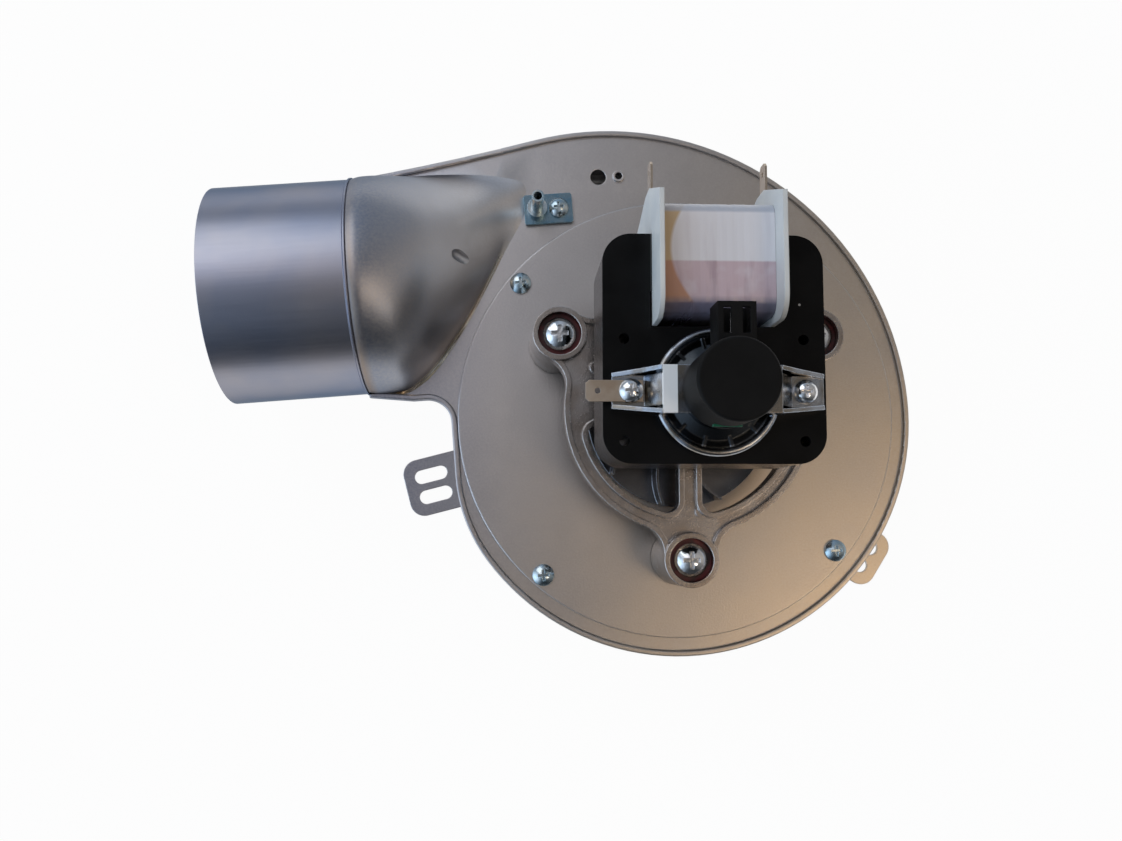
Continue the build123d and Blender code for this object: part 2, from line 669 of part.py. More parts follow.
def spider_windows():
    """Return the three openings between hub, spokes and ring."""
    ring = Circle(WINDOW_R) - Circle(HUB_R + 2 * RIB_W)
    lower = Pos(SPOKE_W / 2, -PILLAR_BAND / 2) * Rectangle(REACH, REACH, align=(Align.MIN, Align.MAX))
    side_x = REACH * cos(radians(WINDOW_SLOPE))
    side_y = WINDOW_APEX_Y + REACH * sin(radians(WINDOW_SLOPE))
    upper = Polygon((0, WINDOW_APEX_Y), (side_x, side_y), (-side_x, side_y), align=None)
    right = ring & lower
    left = mirror(right, Plane.YZ)
    top = ring & upper
    return Sketch() + [fillet(opening.vertices(), WINDOW_CORNER) for opening in (right, left, top)]


def spider_bracket():
    """Return the die-cast spider: ribbed web, hub with the rear bearing seat, pillars and three legs."""
    plan = spider_plan()
    windows = spider_windows()
    web = slab(plan - windows, WEB_Z, WEB_TOP)
    rim = slab(plan - offset(plan, amount=-RIB_W), RIB_Z, RIB_TOP)
    window_ribs = slab(offset(windows, amount=RIB_W) - windows, RIB_Z, RIB_TOP)
    casting = web + rim + window_ribs + disc(HUB_R, WEB_Z, SPIDER_T + HUB_RISE)
    leg_foot = PLATE_TOP + BOSS_LIFT
    leg_height = BOSS_Z - leg_foot
    leg = Cone(BOSS_R + BOSS_DRAFT, BOSS_R, leg_height, align=(Align.CENTER, Align.CENTER, Align.MIN))
    for place in boss_places(leg_foot):
        casting += place * leg
    for place in boss_places():
        casting -= place * disc(GROMMET_D / 2 + FIT, FLOOR_TOP, BOSS_Z)
        casting -= place * disc(GROMMET_NECK_R, leg_foot, leg_height)
        casting -= place * disc(GROMMET_D / 2 + FIT, 0, FLOOR_TOP - BOSS_FLOOR)
    for side in (-1, 1):
        spot = Pos(side * STACK_SCREW_X, 0)
        casting += spot * disc(PILLAR_R, WEB_Z, STACK_BACK - WEB_Z)
        casting -= spot * disc(SCREW_HOLE_R, 0, STACK_BACK)
    for angle in BOSS_ANGLES:
        casting += polar(MOUNT_R - PIP_INSIDE, angle + PIP_TURN, WEB_TOP) * disc(PIP_R, 0, PIP_H)
    casting -= disc(BEARING_D / 2, 0, WEB_Z + BEARING_W)
    casting -= disc(SHAFT_R + CUP_WALL, 0, STACK_FRONT)
    return casting


def bearing(z):
    """Return one ball bearing as a ring, standing on z."""
    ring = tube(BEARING_D / 2, SHAFT_R + BEARING_GAP, z, BEARING_W)
    groove_z = z + BEARING_W - BEARING_GROOVE
    return ring - tube(BEARING_D / 2 - BEARING_RACE, SHAFT_R + BEARING_RACE, groove_z, BEARING_W)


def stack_window():
    """Return the stack's coil window, open at the top."""
    return Pos(0, WINDOW_BOTTOM) * Rectangle(WINDOW_W, REACH, align=(Align.CENTER, Align.MIN))


def shade_spots():
    """Return the angles of each shading ring's two legs, one pair for each pole."""
    return [SHADE_ANGLES, tuple(angle + 180 for angle in SHADE_ANGLES)]


def stator_stack():
    """Return the stator's lamination stack with bore, coil window and holes."""
    middle = (STACK_TOP + STACK_BOTTOM) / 2
    plate = Rectangle(STACK_W, STACK_TOP - STACK_BOTTOM)
    plan = Pos(0, middle) * fillet(plate.vertices(), STACK_CORNER)
    plan -= stack_window()
    plan -= Circle(BORE_R)
    for side in (-1, 1):
        plan -= Pos(side * STACK_SCREW_X, 0) * Circle(SCREW_HOLE_R)
        for y in RIVET_Y:
            plan -= Pos(side * RIVET_X, y) * Circle(RIVET_D / 2)
    for pair in shade_spots():
        for angle in pair:
            plan -= polar(SHADE_R, angle) * Circle(SHADE_WIRE)
    return slab(plan, STACK_BACK, STACK_FRONT)


def coil_core():
    """Return the straight core bar that closes the magnetic circuit through the coil."""
    return box(-WINDOW_W / 2, WINDOW_W / 2, CORE_BOTTOM, STACK_TOP, STACK_BACK, STACK_FRONT)


def shading_ring(pair):
    """Return one closed copper loop through two holes of a pole."""
    low = STACK_BACK - SHADE_OVERHANG
    high = STACK_FRONT + SHADE_OVERHANG
    start, end = pair
    loop = Part()
    for angle in pair:
        loop += polar(SHADE_R, angle) * disc(SHADE_WIRE, low, high - low)
    span = 2 * SHADE_R * sin(radians((end - start) / 2))
    radius = SHADE_R * cos(radians((end - start) / 2))
    bar = Pos(0, 0, SHADE_WIRE) * Box(2 * SHADE_WIRE, span, 2 * SHADE_WIRE)
    for z in (STACK_BACK - 2 * SHADE_WIRE, STACK_FRONT):
        loop += Rot(0, 0, (start + end) / 2) * Pos(radius, 0, z) * bar
    return loop


def coil_ring(grow, x_half):
    """Return a round-cornered block round the core along x, larger than the core by grow."""
    width = STACK_TOP - CORE_BOTTOM + 2 * grow
    depth = STACK_T + 2 * grow
    middle_y = (STACK_TOP + CORE_BOTTOM) / 2
    side = Plane(origin=(-x_half, middle_y, STACK_MID), x_dir=(0, 1, 0), z_dir=(1, 0, 0))
    section = Rectangle(width, depth)
    if grow > BOBBIN_WALL:
        section = fillet(section.vertices(), COIL_CORNER)
    return extrude(side * section, 2 * x_half)


def coil_half_length():
    """Return half the space between the bobbin's flanges."""
    return WINDOW_W / 2 - COIL_SIDE_GAP - BOBBIN_FLANGE_T


def bobbin_flange():
    """Return one bobbin flange, drawn upright across the core and made solid along x."""
    front = STACK_FRONT + FLANGE_FRONT
    back = STACK_BACK - COIL_SIDE - FLANGE_MARGIN
    low = WINDOW_BOTTOM + COIL_GAP
    top = STACK_TOP + FLANGE_TOP
    shoulder = top - FLANGE_SHOULDER
    crest = STACK_MID + TERMINAL_RISE
    side = Plane(origin=(0, 0, 0), x_dir=(0, 1, 0), z_dir=(1, 0, 0))
    points = [(low, back), (shoulder, back), (top, crest - FLANGE_CREST),
              (top, crest + FLANGE_CREST / 2), (shoulder, front), (low, front)]
    outline = make_face(Polyline(*points, close=True))
    corner = outline.vertices().sort_by_distance((low, front, 0))[0]
    outline = fillet(corner, FLANGE_CORNER)
    return extrude(side * outline, BOBBIN_FLANGE_T)


def bobbin():
    """Return the nylon bobbin: square tube on the core with two tall flanges."""
    half = coil_half_length()
    body = coil_ring(BOBBIN_WALL, half)
    body += Pos(half, 0, 0) * bobbin_flange()
    body += Pos(-half - BOBBIN_FLANGE_T, 0, 0) * bobbin_flange()
    body -= coil_ring(0, WINDOW_W)
    slot = Box(TERMINAL_T, TERMINAL_LENGTH, TERMINAL_W, align=(Align.CENTER, Align.MIN, Align.CENTER))
    for place in terminal_places():
        body -= place * slot
    return body


def terminal_places():
    """Return the feet of the two blade terminals, in the bobbin's flanges."""
    x = coil_half_length() + BOBBIN_FLANGE_T / 2
    y = STACK_TOP + FLANGE_TOP - TERMINAL_INSET
    return [Pos(side * x, y, STACK_MID + TERMINAL_RISE) for side in (-1, 1)]


def terminal():
    """Return one blade terminal along +Y from its foot."""
    blade = Pos(TERMINAL_LENGTH / 2, 0) * Rectangle(TERMINAL_LENGTH, TERMINAL_W)
    blade = chamfer(blade.vertices().group_by(Axis.X)[-1], TERMINAL_TIP)
    blade -= Pos(TERMINAL_LENGTH - TERMINAL_HOLE_IN, 0) * Circle(TERMINAL_HOLE_D / 2)
    side = Plane(origin=(-TERMINAL_T / 2, 0, 0), x_dir=(0, 1, 0), z_dir=(1, 0, 0))
    return extrude(side * blade, TERMINAL_T)


def arm_side_profile():
    """Return the bridge arms seen along Y: two feet, two ramps and the flat middle."""
    return [(-ARM_END_X, STACK_FRONT), (-ARM_END_X, ARM_TOP), (-RAMP_FOOT_X, ARM_TOP),
            (-RAMP_HEAD_X, SHIELD_TOP), (RAMP_HEAD_X, SHIELD_TOP), (RAMP_FOOT_X, ARM_TOP),
            (ARM_END_X, ARM_TOP), (ARM_END_X, STACK_FRONT)]


def shield():
    """Return the bracket's domed shield with the bearing cup, turned in one piece."""
    inner_r = SHIELD_R - SHIELD_FOOT
    rim_z = STACK_FRONT + SHIELD_RIM_H
    foot_z = rim_z - SHIELD_EDGE
    dish_z = foot_z - SHIELD_DIP
    rim = [(SHIELD_R, foot_z), (SHIELD_R - SHIELD_EDGE, rim_z), (SHIELD_R - 2 * SHIELD_EDGE, foot_z)]
    rest = Polyline(
        rim[-1], (DISH_R, dish_z), (CUP_R, rim_z), (CUP_R, SHIELD_TOP), (SHAFT_R + CUP_WALL, SHIELD_TOP),
        (SHAFT_R + CUP_WALL, CUP_TOP), (BEARING_D / 2, CUP_TOP), (BEARING_D / 2, rim_z - SHIELD_WALL),
        (DISH_R, dish_z - SHIELD_WALL), (inner_r, dish_z - SHIELD_WALL), (inner_r, STACK_FRONT),
        (SHIELD_R, STACK_FRONT), rim[0])
    outline = make_face(ThreePointArc(*rim) + rest)
    return revolve(Plane.XZ * outline, Axis.Z)


def arm_side_wall(side):
    """Return one raised side wall of an arm, seen along Y and made solid to the rib's thickness."""
    outline = make_face(Polyline(
        (side * RAMP_HEAD_X, SHIELD_TOP), (side * (RAMP_FOOT_X + SHIELD_EDGE), ARM_TOP + ARM_RIB_H),
        (side * ARM_END_X, ARM_TOP + ARM_RIB_END), (side * ARM_END_X, STACK_FRONT),
        (side * RAMP_HEAD_X, STACK_FRONT), close=True))
    return extrude(Plane.XZ * outline, ARM_RIB_T / 2, both=True)


def front_bearing_bracket():
    """Return the front bracket: domed shield, bearing cup and two ribbed arms in one casting."""
    rim_z = STACK_FRONT + SHIELD_RIM_H
    rim_inside = SHIELD_R - 2 * SHIELD_EDGE
    foot_z = rim_z - SHIELD_EDGE
    bracket = shield()
    rib = box(CUP_R - SHIELD_WALL / 2, rim_inside + SHIELD_EDGE, -SHIELD_RIB_T / 2, SHIELD_RIB_T / 2,
              foot_z - SHIELD_DIP - SHIELD_WALL / 2, foot_z)
    for count in range(SHIELD_RIBS):
        bracket += Rot(0, 0, (count + 0.5) * 360 / SHIELD_RIBS) * rib
    bridge = extrude(Plane.XZ * make_face(Polyline(*arm_side_profile(), close=True)), ARM_NECK_W / 2, both=True)
    plan = Rectangle(2 * RAMP_HEAD_X, ARM_NECK_W) + Rectangle(2 * ARM_END_X, ARM_W)
    bracket += (bridge & slab(plan, STACK_FRONT, SHIELD_TOP)) - disc(rim_inside, 0, REACH)
    strap = slab(Rectangle(2 * RAMP_HEAD_X, ARM_NECK_W), SHIELD_TOP - STRAP_T, SHIELD_TOP)
    bracket += strap - disc(BEARING_D / 2, 0, CUP_TOP) - disc(SHAFT_R + CUP_WALL, 0, REACH)
    for side in (-1, 1):
        for edge in (-1, 1):
            hinge = Pos(side * ARM_END_X, edge * ARM_W / 2) * Rot(0, 0, -side * edge * ARM_FLARE)
            wall = hinge * Pos(-side * ARM_END_X, 0) * arm_side_wall(side)
            bracket += wall - disc(SHIELD_R - SHIELD_EDGE, 0, REACH)
        spot = Pos(side * STACK_SCREW_X, 0)
        bracket -= spot * disc(SCREW_HOLE_R, 0, REACH)
        bracket -= spot * disc(MOTOR_SCREW_HEAD_D / 2 + HEAD_GAP, ARM_TOP, REACH)
    return bracket


def motor_screw_seat(side):
    """Return the height of a motor screw's head seat; the earth tab lies under the left one."""
    return ARM_TOP + (EARTH_T if side < 0 else 0)


def motor_screws():
    """Return the two long screws through bracket, stack and spider pillars."""
    screws = []
    for side in (-1, 1):
        seat = motor_screw_seat(side)
        length = seat - STACK_BACK + MOTOR_SCREW_GRIP
        screw = dome_head_screw(MOTOR_SCREW_HEAD_D, MOTOR_SCREW_HEAD_H, SCREW_D / 2, length)
        screws.append(Pos(side * STACK_SCREW_X, 0, seat) * screw)
    return screws


def earth_tab():
    """Return the flat earth blade under the left motor screw."""
    strip = Pos(-EARTH_REACH, 0) * Rectangle(EARTH_REACH + EARTH_INNER, EARTH_W, align=(Align.MIN, Align.CENTER))
    strip = chamfer(strip.vertices().group_by(Axis.X)[0], EARTH_TIP)
    strip -= Circle(SCREW_HOLE_R)
    strip -= Pos(EARTH_HOLE_IN - EARTH_REACH, 0) * Circle(EARTH_HOLE_D / 2)
    return Pos(-STACK_SCREW_X, 0) * slab(strip, ARM_TOP, ARM_TOP + EARTH_T)


def sensor_base():
    """Return the sensor's base: a disc on the bracket and a ring that lifts the board."""
    ring_r = CAP_BORE_R - FIT
    base = tube(CAP_R, MAGNET_R + MAGNET_GAP, SHIELD_TOP, BASE_T)
    return base + tube(ring_r, ring_r - BASE_RING_T, SHIELD_TOP, BASE_T + BASE_RING_H)


def sensor_board():
    """Return the speed sensor's board with its tongue towards -Y and its hall sensor."""
    half = BOARD_TONGUE_W / 2
    board = tube(CAP_BORE_R - FIT, SHAFT_R + BOARD_HOLE_GAP, BOARD_Z, BOARD_T)
    board += box(-half, half, TONGUE_SHORT - CAP_R, -CAP_BORE_R / 2, BOARD_Z, BOARD_TOP)
    hall_y = -MAGNET_R - HALL_GAP
    return board + box(-HALL_W / 2, HALL_W / 2, hall_y - HALL_T, hall_y, BOARD_TOP, BOARD_TOP + HALL_H)


def pin_places():
    """Return the x places of the connector's three pins."""
    return [CONNECTOR_X + count * PIN_PITCH for count in (-1, 0, 1)]


def sensor_cap():
    """Return the black cap with its side notch and its open connector housing."""
    cap = disc(CAP_R, BASE_TOP, CAP_H)
    cap = fillet(cap.faces().sort_by(Axis.Z)[-1].edges(), CAP_EDGE)
    housing_z = BOARD_Z - CONNECTOR_DROP
    half = CONNECTOR_W / 2
    inner = half - CONNECTOR_WALL
    back_y = CONNECTOR_END_Y - CONNECTOR_DEPTH
    cap += box(CONNECTOR_X - half, CONNECTOR_X + half, CAP_R / 2, CONNECTOR_END_Y, housing_z, housing_z + CONNECTOR_H)
    cap -= disc(CAP_BORE_R, BASE_TOP, CAP_H - CAP_WALL)
    cap -= box(CONNECTOR_X - inner, CONNECTOR_X + inner, back_y, REACH,
               housing_z + CONNECTOR_WALL, housing_z + CONNECTOR_H - CONNECTOR_WALL)
    for x in (CONNECTOR_X - PIN_PITCH, CONNECTOR_X + PIN_PITCH):
        cap -= box(x - SLIT_W / 2, x + SLIT_W / 2, back_y, CONNECTOR_END_Y - SLIT_SHORT, BOARD_Z + SLIT_RISE, CAP_TOP)
    hole = PIN_W / 2 + FIT
    for x in pin_places():
        cap -= box(x - hole, x + hole, CAP_BORE_R - PIN_ROOT, PIN_END_Y, BOARD_TOP, BOARD_TOP + PIN_W + FIT)
    notch = BOARD_TONGUE_W / 2 + TONGUE_GAP
    return cap - box(-notch, notch, -REACH, -CAP_BORE_R / 2, BOARD_Z, BOARD_TOP + HALL_H)


def connector_pins():
    """Return the connector's three square pins, lying on the board."""
    return [box(x - PIN_W / 2, x + PIN_W / 2, CAP_BORE_R - PIN_ROOT, PIN_END_Y, BOARD_TOP, BOARD_TOP + PIN_W)
            for x in pin_places()]


def curved_vane(root_r, tip_r, curve_r, thickness, z, height):
    """Return one curved vane between two radii, part of a thin upright ring off the axis."""
    centre = sqrt(curve_r ** 2 + root_r ** 2) * VANE_LEAN
    ring = Pos(0, centre) * (Circle(curve_r + thickness) - Circle(curve_r))
    band = Circle(tip_r) - Circle(root_r)
    right = Rectangle(REACH, 2 * REACH, align=(Align.MIN, Align.CENTER))
    return slab(ring & band & right, z, z + height)


def impeller():
    """Return the impeller: back plate, shroud ring and curved vanes between them."""
    back_z = IMPELLER_TOP - IMPELLER_T
    wheel = tube(IMPELLER_R, SHAFT_R + FIT, back_z, IMPELLER_T)
    wheel += tube(IMPELLER_R, IMPELLER_EYE_R, SHROUD_Z, IMPELLER_T)
    root_r = IMPELLER_EYE_R + VANE_START
    vane = curved_vane(root_r, IMPELLER_R - VANE_END, VANE_CURVE_R, IMPELLER_T, SHROUD_Z, back_z - SHROUD_Z)
    for count in range(VANE_COUNT):
        wheel += Rot(0, 0, count * 360 / VANE_COUNT) * vane
    return wheel


def impeller_hub():
    """Return the turned hub under the impeller's back plate."""
    return tube(HUB_OUT_R, SHAFT_R, HUB_BOTTOM, HUB_LENGTH)


def impeller_fasteners():
    """Return the nut and washer that hold the hub on the shaft."""
    washer = tube(WASHER_R, SHAFT_R, HUB_BOTTOM - WASHER_T, WASHER_T)
    nut = RegularPolygon(NUT_AF / 2, 6, major_radius=False) - Circle(SHAFT_R)
    return [washer, slab(nut, NUT_Z, NUT_Z + NUT_T)]


def cooling_fan():
    """Return the motor's cooling wheel: disc, hub and curved upright vanes."""
    wheel = tube(COOLER_R, SHAFT_R, COOLER_Z, COOLER_T)
    wheel += tube(COOLER_HUB_R, SHAFT_R, COOLER_Z, COOLER_H)
    vane = curved_vane(COOLER_ROOT_R, COOLER_R, COOLER_CURVE_R, COOLER_T, COOLER_Z, COOLER_H)
    for count in range(COOLER_VANES):
        wheel += Rot(0, 0, count * 360 / COOLER_VANES) * vane
    return wheel


def rotor_core():
    """Return the rotor's lamination core."""
    low = STACK_BACK + END_RING_GAP + END_RING_T
    high = STACK_FRONT - END_RING_GAP - END_RING_T
    return tube(ROTOR_R, SHAFT_R, low, high - low)


def rotor_end_rings():
    """Return the two cast end rings of the rotor cage."""
    low = STACK_BACK + END_RING_GAP
    high = STACK_FRONT - END_RING_GAP - END_RING_T
    outer_r = ROTOR_R - END_RING_STEP
    return [tube(outer_r, outer_r - END_RING_W, z, END_RING_T) for z in (low, high)]


def build():
    """Build every sub-part and write it."""
    outline = casing_outline()
    back_outside = pan(outline, FLANGE_W, MOUNT_T, PAN_EDGE) + neck_bar(NECK_R + FIT)
    write(back_shell(outline), "back_shell")
    write(front_shell(outline, back_outside), "front_shell")
    write(outlet_spigot(), "outlet_spigot")
    write(mounting_plate(), "mounting_plate")
    write(motor_plate(), "motor_plate")
    write(plate_gasket(), "plate_gasket")
    write(group(plate_screws()), "plate_screws")

    tap_z = FRONT_Z + TAP_GASKET_T
    write(tap_place() * slab(tap_outline(TAP_GASKET_INSET), FRONT_Z, tap_z), "tap_gasket")
    write(tap_place() * slab(tap_outline(0), tap_z, tap_z + TAP_T), "tap_plate")
    write(tap_nozzle(), "tap_nozzle")
    tap_screw = dome_head_screw(TAP_SCREW_HEAD_D, SCREW_HEAD_H, SCREW_D / 2, PLATE_SCREW_LENGTH)
    write(tap_place(tap_z + TAP_T) * Pos(TAP_SCREW_OFFSET, 0) * tap_screw, "tap_screw")

    grommet_z = FLOOR_TOP - BOSS_FLOOR - GROMMET_LIP
    grommet_top = FLOOR_TOP + GROMMET_LIP
    screw_length = grommet_top - grommet_z + DOME_SCREW_GRIP
    post = disc(POST_D / 2, PLATE_TOP, grommet_z - PLATE_TOP)
    post -= disc(SCREW_HOLE_R, grommet_top - screw_length - BORE_SPARE, REACH)
    sleeve = tube(SCREW_HOLE_R + SLEEVE_WALL, SCREW_HOLE_R, grommet_z, grommet_top - grommet_z)
    dome_screw = dome_head_screw(DOME_D, DOME_H, SCREW_D / 2, screw_length)
    write_motor(group([place * post for place in boss_places()]), "mount_posts")
    write_motor(group([place * grommet() for place in boss_places(grommet_z)]), "grommets")
    write_motor(group([place * sleeve for place in boss_places()]), "spacer_sleeves")
    write_motor(group([place * dome_screw for place in boss_places(grommet_top)]), "dome_screws")
    write_motor(spider_bracket(), "spider_bracket")

    write_motor(bearing(WEB_TOP - SPIDER_T), "rear_bearing")
    write_motor(bearing(CUP_TOP - BEARING_W), "front_bearing")
    write_motor(stator_stack(), "stator_stack")
    write_motor(coil_core(), "coil_core")
    write_motor(group([shading_ring(pair) for pair in shade_spots()]), "shading_rings")
    write_motor(bobbin(), "bobbin")
    half = coil_half_length()
    wound = BOBBIN_WALL + COIL_BUILD
    write_motor(coil_ring(wound, half) - coil_ring(BOBBIN_WALL, half + 1), "coil_winding")
    write_motor(coil_ring(wound + TAPE_T, half) - coil_ring(wound, half + 1), "coil_tape")
    write_motor(group([place * terminal() for place in terminal_places()]), "coil_terminals")
    write_motor(front_bearing_bracket(), "front_bearing_bracket")
    write_motor(group(motor_screws()), "motor_screws")
    write_motor(earth_tab(), "earth_tab")
    write_motor(sensor_base(), "sensor_base")
    write_motor(sensor_board(), "sensor_board")
    write_motor(sensor_cap(), "sensor_cap")
    write_motor(group(connector_pins()), "connector_pins")

    write_motor(disc(SHAFT_R, SHAFT_BOTTOM, SHAFT_TOP - SHAFT_BOTTOM), "shaft")
    write_motor(tube(MAGNET_R, SHAFT_R, MAGNET_Z, MAGNET_H), "sensor_magnet")
    write_motor(rotor_core(), "rotor_core")
    write_motor(group(rotor_end_rings()), "rotor_end_rings")
    write_motor(impeller(), "impeller")
    write_motor(impeller_hub(), "impeller_hub")
    write_motor(group(impeller_fasteners()), "impeller_nut")
    write_motor(cooling_fan(), "cooling_fan")


build()
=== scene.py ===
import functools
import logging
import math
from dataclasses import dataclass, replace
from enum import Enum

import bmesh
import bpy
import numpy as np
from mathutils import Matrix, Vector


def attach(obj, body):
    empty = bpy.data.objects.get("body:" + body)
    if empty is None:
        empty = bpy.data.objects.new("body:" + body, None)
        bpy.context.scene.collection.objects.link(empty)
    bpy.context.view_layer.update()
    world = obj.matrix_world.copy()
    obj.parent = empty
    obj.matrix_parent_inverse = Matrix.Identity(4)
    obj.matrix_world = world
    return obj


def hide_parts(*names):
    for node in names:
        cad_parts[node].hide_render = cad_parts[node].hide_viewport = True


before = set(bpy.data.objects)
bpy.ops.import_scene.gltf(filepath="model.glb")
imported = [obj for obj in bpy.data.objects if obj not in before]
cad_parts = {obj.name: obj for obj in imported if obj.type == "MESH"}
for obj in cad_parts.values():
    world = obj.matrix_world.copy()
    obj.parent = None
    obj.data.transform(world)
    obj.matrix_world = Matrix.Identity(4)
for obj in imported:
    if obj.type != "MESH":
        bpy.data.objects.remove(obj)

logging.basicConfig(level=logging.INFO, format="%(message)s")
LOG = logging.getLogger("flue_gas_fan")

MM = 0.001
MOTOR_TURN = math.radians(-4.6)
# Noise: where one colour starts to give way to the other, and where it has.
DRIFT = (0.35, 0.65)
# Dust: its colour, and how far from the middle of its cell a speck ends.
DUST = (0.35, 0.36, 0.36)
SPECK_EDGE = (0.035, 0.05)
# A painted edge highlight: the cosines where it starts and is full, the least radius in millimetres, the
# lift.
EDGE_HIGHLIGHT_COSINES = (0.98, 0.8)
EDGE_HIGHLIGHT_RADIUS = 0.3
EDGE_HIGHLIGHT_LIFT = 0.08
# Bands: the length after which they repeat at scale 1, how they waver, and the scale of that.
BAND_LENGTH = math.pi / 10.0
BAND_WAVER = 0.4
BAND_DETAIL = 300.0
Colour = tuple[float, float, float]
Place = tuple[float, float, float]
Span = tuple[float, float]
Socket = bpy.types.NodeSocket


class NodeBook:
    """Short calls for building one node material."""

    def __init__(self, name: str) -> None:
        """Start an empty material.

        Args:
            name: The material's name.
        """
        self.made = bpy.data.materials.new(name)
        self.made.use_nodes = True
        self.tree = self.made.node_tree
        self.tree.nodes.clear()

    @classmethod
    def of_tree(cls, tree: bpy.types.NodeTree) -> "NodeBook":
        """Return a book that writes into a tree that exists."""
        book = cls.__new__(cls)
        book.tree = tree
        return book

    def scaled(self, colour: Colour, level: Socket) -> Socket:
        """Return a colour times a level."""
        node = self.node("ShaderNodeVectorMath", operation="SCALE")
        node.inputs[0].default_value = colour
        self.plug(node.inputs["Scale"], level)
        return node.outputs["Vector"]

    def node(self, kind: str, **settings: object) -> bpy.types.Node:
        """Add a node and set its properties."""
        node = self.tree.nodes.new(kind)
        for key, value in settings.items():
            setattr(node, key, value)
        return node

    def plug(self, socket: Socket, value: object) -> None:
        """Link a socket, or set its value where a plain number or colour is given."""
        if isinstance(value, Socket):
            self.tree.links.new(value, socket)
        elif isinstance(value, tuple) and len(value) == 3 and len(socket.default_value) == 4:
            socket.default_value = (*value, 1.0)
        else:
            socket.default_value = value

    def place(self) -> Socket:
        """Return the object coordinates."""
        return self.node("ShaderNodeTexCoord").outputs["Object"]

    def stretch(self, place: Socket, scale: Place, turn: float = 0.0) -> Socket:
        """Return coordinates scaled along each axis, and turned about z."""
        mapping = self.node("ShaderNodeMapping")
        self.plug(mapping.inputs["Vector"], place)
        mapping.inputs["Scale"].default_value = scale
        mapping.inputs["Rotation"].default_value = (0.0, 0.0, turn)
        return mapping.outputs["Vector"]

    def noise(self, place: Socket, scale: float, detail: float = 3.0) -> Socket:
        """Return smooth noise from 0 to 1."""
        noise = self.node("ShaderNodeTexNoise")
        self.plug(noise.inputs["Vector"], place)
        noise.inputs["Scale"].default_value = scale
        noise.inputs["Detail"].default_value = detail
        return noise.outputs["Fac"]

    def bands(self, place: Socket, pitch: float) -> Socket:
        """Return level bands across z, one for each pitch."""
        wave = self.node("ShaderNodeTexWave", bands_direction="Z")
        self.plug(wave.inputs["Vector"], place)
        wave.inputs["Scale"].default_value = BAND_LENGTH / pitch
        wave.inputs["Distortion"].default_value = BAND_WAVER
        wave.inputs["Detail Scale"].default_value = BAND_DETAIL
        return wave.outputs["Fac"]

    def specks(self, place: Socket, spacing: float) -> Socket:
        """Return 1 on sparse small specks, about one in each cube of the spacing."""
        cells = self.node("ShaderNodeTexVoronoi")
        self.plug(cells.inputs["Vector"], place)
        cells.inputs["Scale"].default_value = 1.0 / spacing
        return self.range(cells.outputs["Distance"], *SPECK_EDGE, 1.0, 0.0)

    def range(self, value: Socket, low: float, high: float, to_low: float, to_high: float) -> Socket:
        """Return a value carried from one range to another, clamped."""
        node = self.node("ShaderNodeMapRange")
        self.plug(node.inputs["Value"], value)
        numbers = {"From Min": low, "From Max": high, "To Min": to_low, "To Max": to_high}
        for key, number in numbers.items():
            node.inputs[key].default_value = number
        return node.outputs["Result"]

    def math(self, operation: str, *values: object) -> Socket:
        """Return one sum, product or other operation on its values."""
        node = self.node("ShaderNodeMath", operation=operation)
        for socket, value in zip(node.inputs, values):
            self.plug(socket, value)
        return node.outputs["Value"]

    def squared(self, value: Socket) -> Socket:
        """Return a value times itself, also where it is below zero."""
        return self.math("POWER", self.math("ABSOLUTE", value), 2.0)

    def axes(self, place: Socket) -> tuple[Socket, ...]:
        """Return the x, y and z of a vector."""
        split = self.node("ShaderNodeSeparateXYZ")
        self.plug(split.inputs["Vector"], place)
        return tuple(split.outputs)

    def mix(self, factor: float, first: Socket, second: Socket) -> Socket:
        """Return two values mixed in a fixed part."""
        scaled = self.math("MULTIPLY", first, 1.0 - factor)
        return self.math("ADD", scaled, self.math("MULTIPLY", second, factor))

    def blend(self, factor: object, first: object, second: object) -> Socket:
        """Return two colours mixed by a factor."""
        node = self.node("ShaderNodeMix", data_type="RGBA")
        self.plug(node.inputs[0], factor)
        self.plug(node.inputs[6], first)
        self.plug(node.inputs[7], second)
        return node.outputs[2]

    def round_edges(self, radius: float) -> Socket:
        """Return a normal that looks as if the edges were rounded."""
        bevel = self.node("ShaderNodeBevel", samples=4)
        bevel.inputs["Radius"].default_value = radius
        return bevel.outputs["Normal"]

    def edge_mask(self, radius: float) -> Socket:
        """Return 1 near an edge, from the product of the rounded and the true normal."""
        true_normal = self.node("ShaderNodeNewGeometry").outputs["True Normal"]
        dot = self.node("ShaderNodeVectorMath", operation="DOT_PRODUCT")
        self.plug(dot.inputs[0], self.round_edges(radius))
        self.plug(dot.inputs[1], true_normal)
        return self.range(dot.outputs["Value"], *EDGE_HIGHLIGHT_COSINES, 0.0, 1.0)

    def bump(self, height: Socket, depth: float, normal: Socket | None) -> Socket:
        """Return a normal bumped by a height from 0 to 1."""
        node = self.node("ShaderNodeBump")
        self.plug(node.inputs["Height"], height)
        node.inputs["Distance"].default_value = depth
        if normal is not None:
            self.plug(node.inputs["Normal"], normal)
        return node.outputs["Normal"]

    def principled(self, colour: object, roughness: object, normal: Socket,
                   metallic: float) -> bpy.types.Node:
        """Add the surface shader."""
        shader = self.node("ShaderNodeBsdfPrincipled")
        self.plug(shader.inputs["Base Color"], colour)
        self.plug(shader.inputs["Roughness"], roughness)
        self.plug(shader.inputs["Normal"], normal)
        shader.inputs["Metallic"].default_value = metallic
        return shader

    def finish(self, shader: bpy.types.Node) -> bpy.types.Material:
        """Link the shader to the output and return the material."""
        output = self.node("ShaderNodeOutputMaterial")
        self.plug(output.inputs["Surface"], shader.outputs[0])
        return self.made


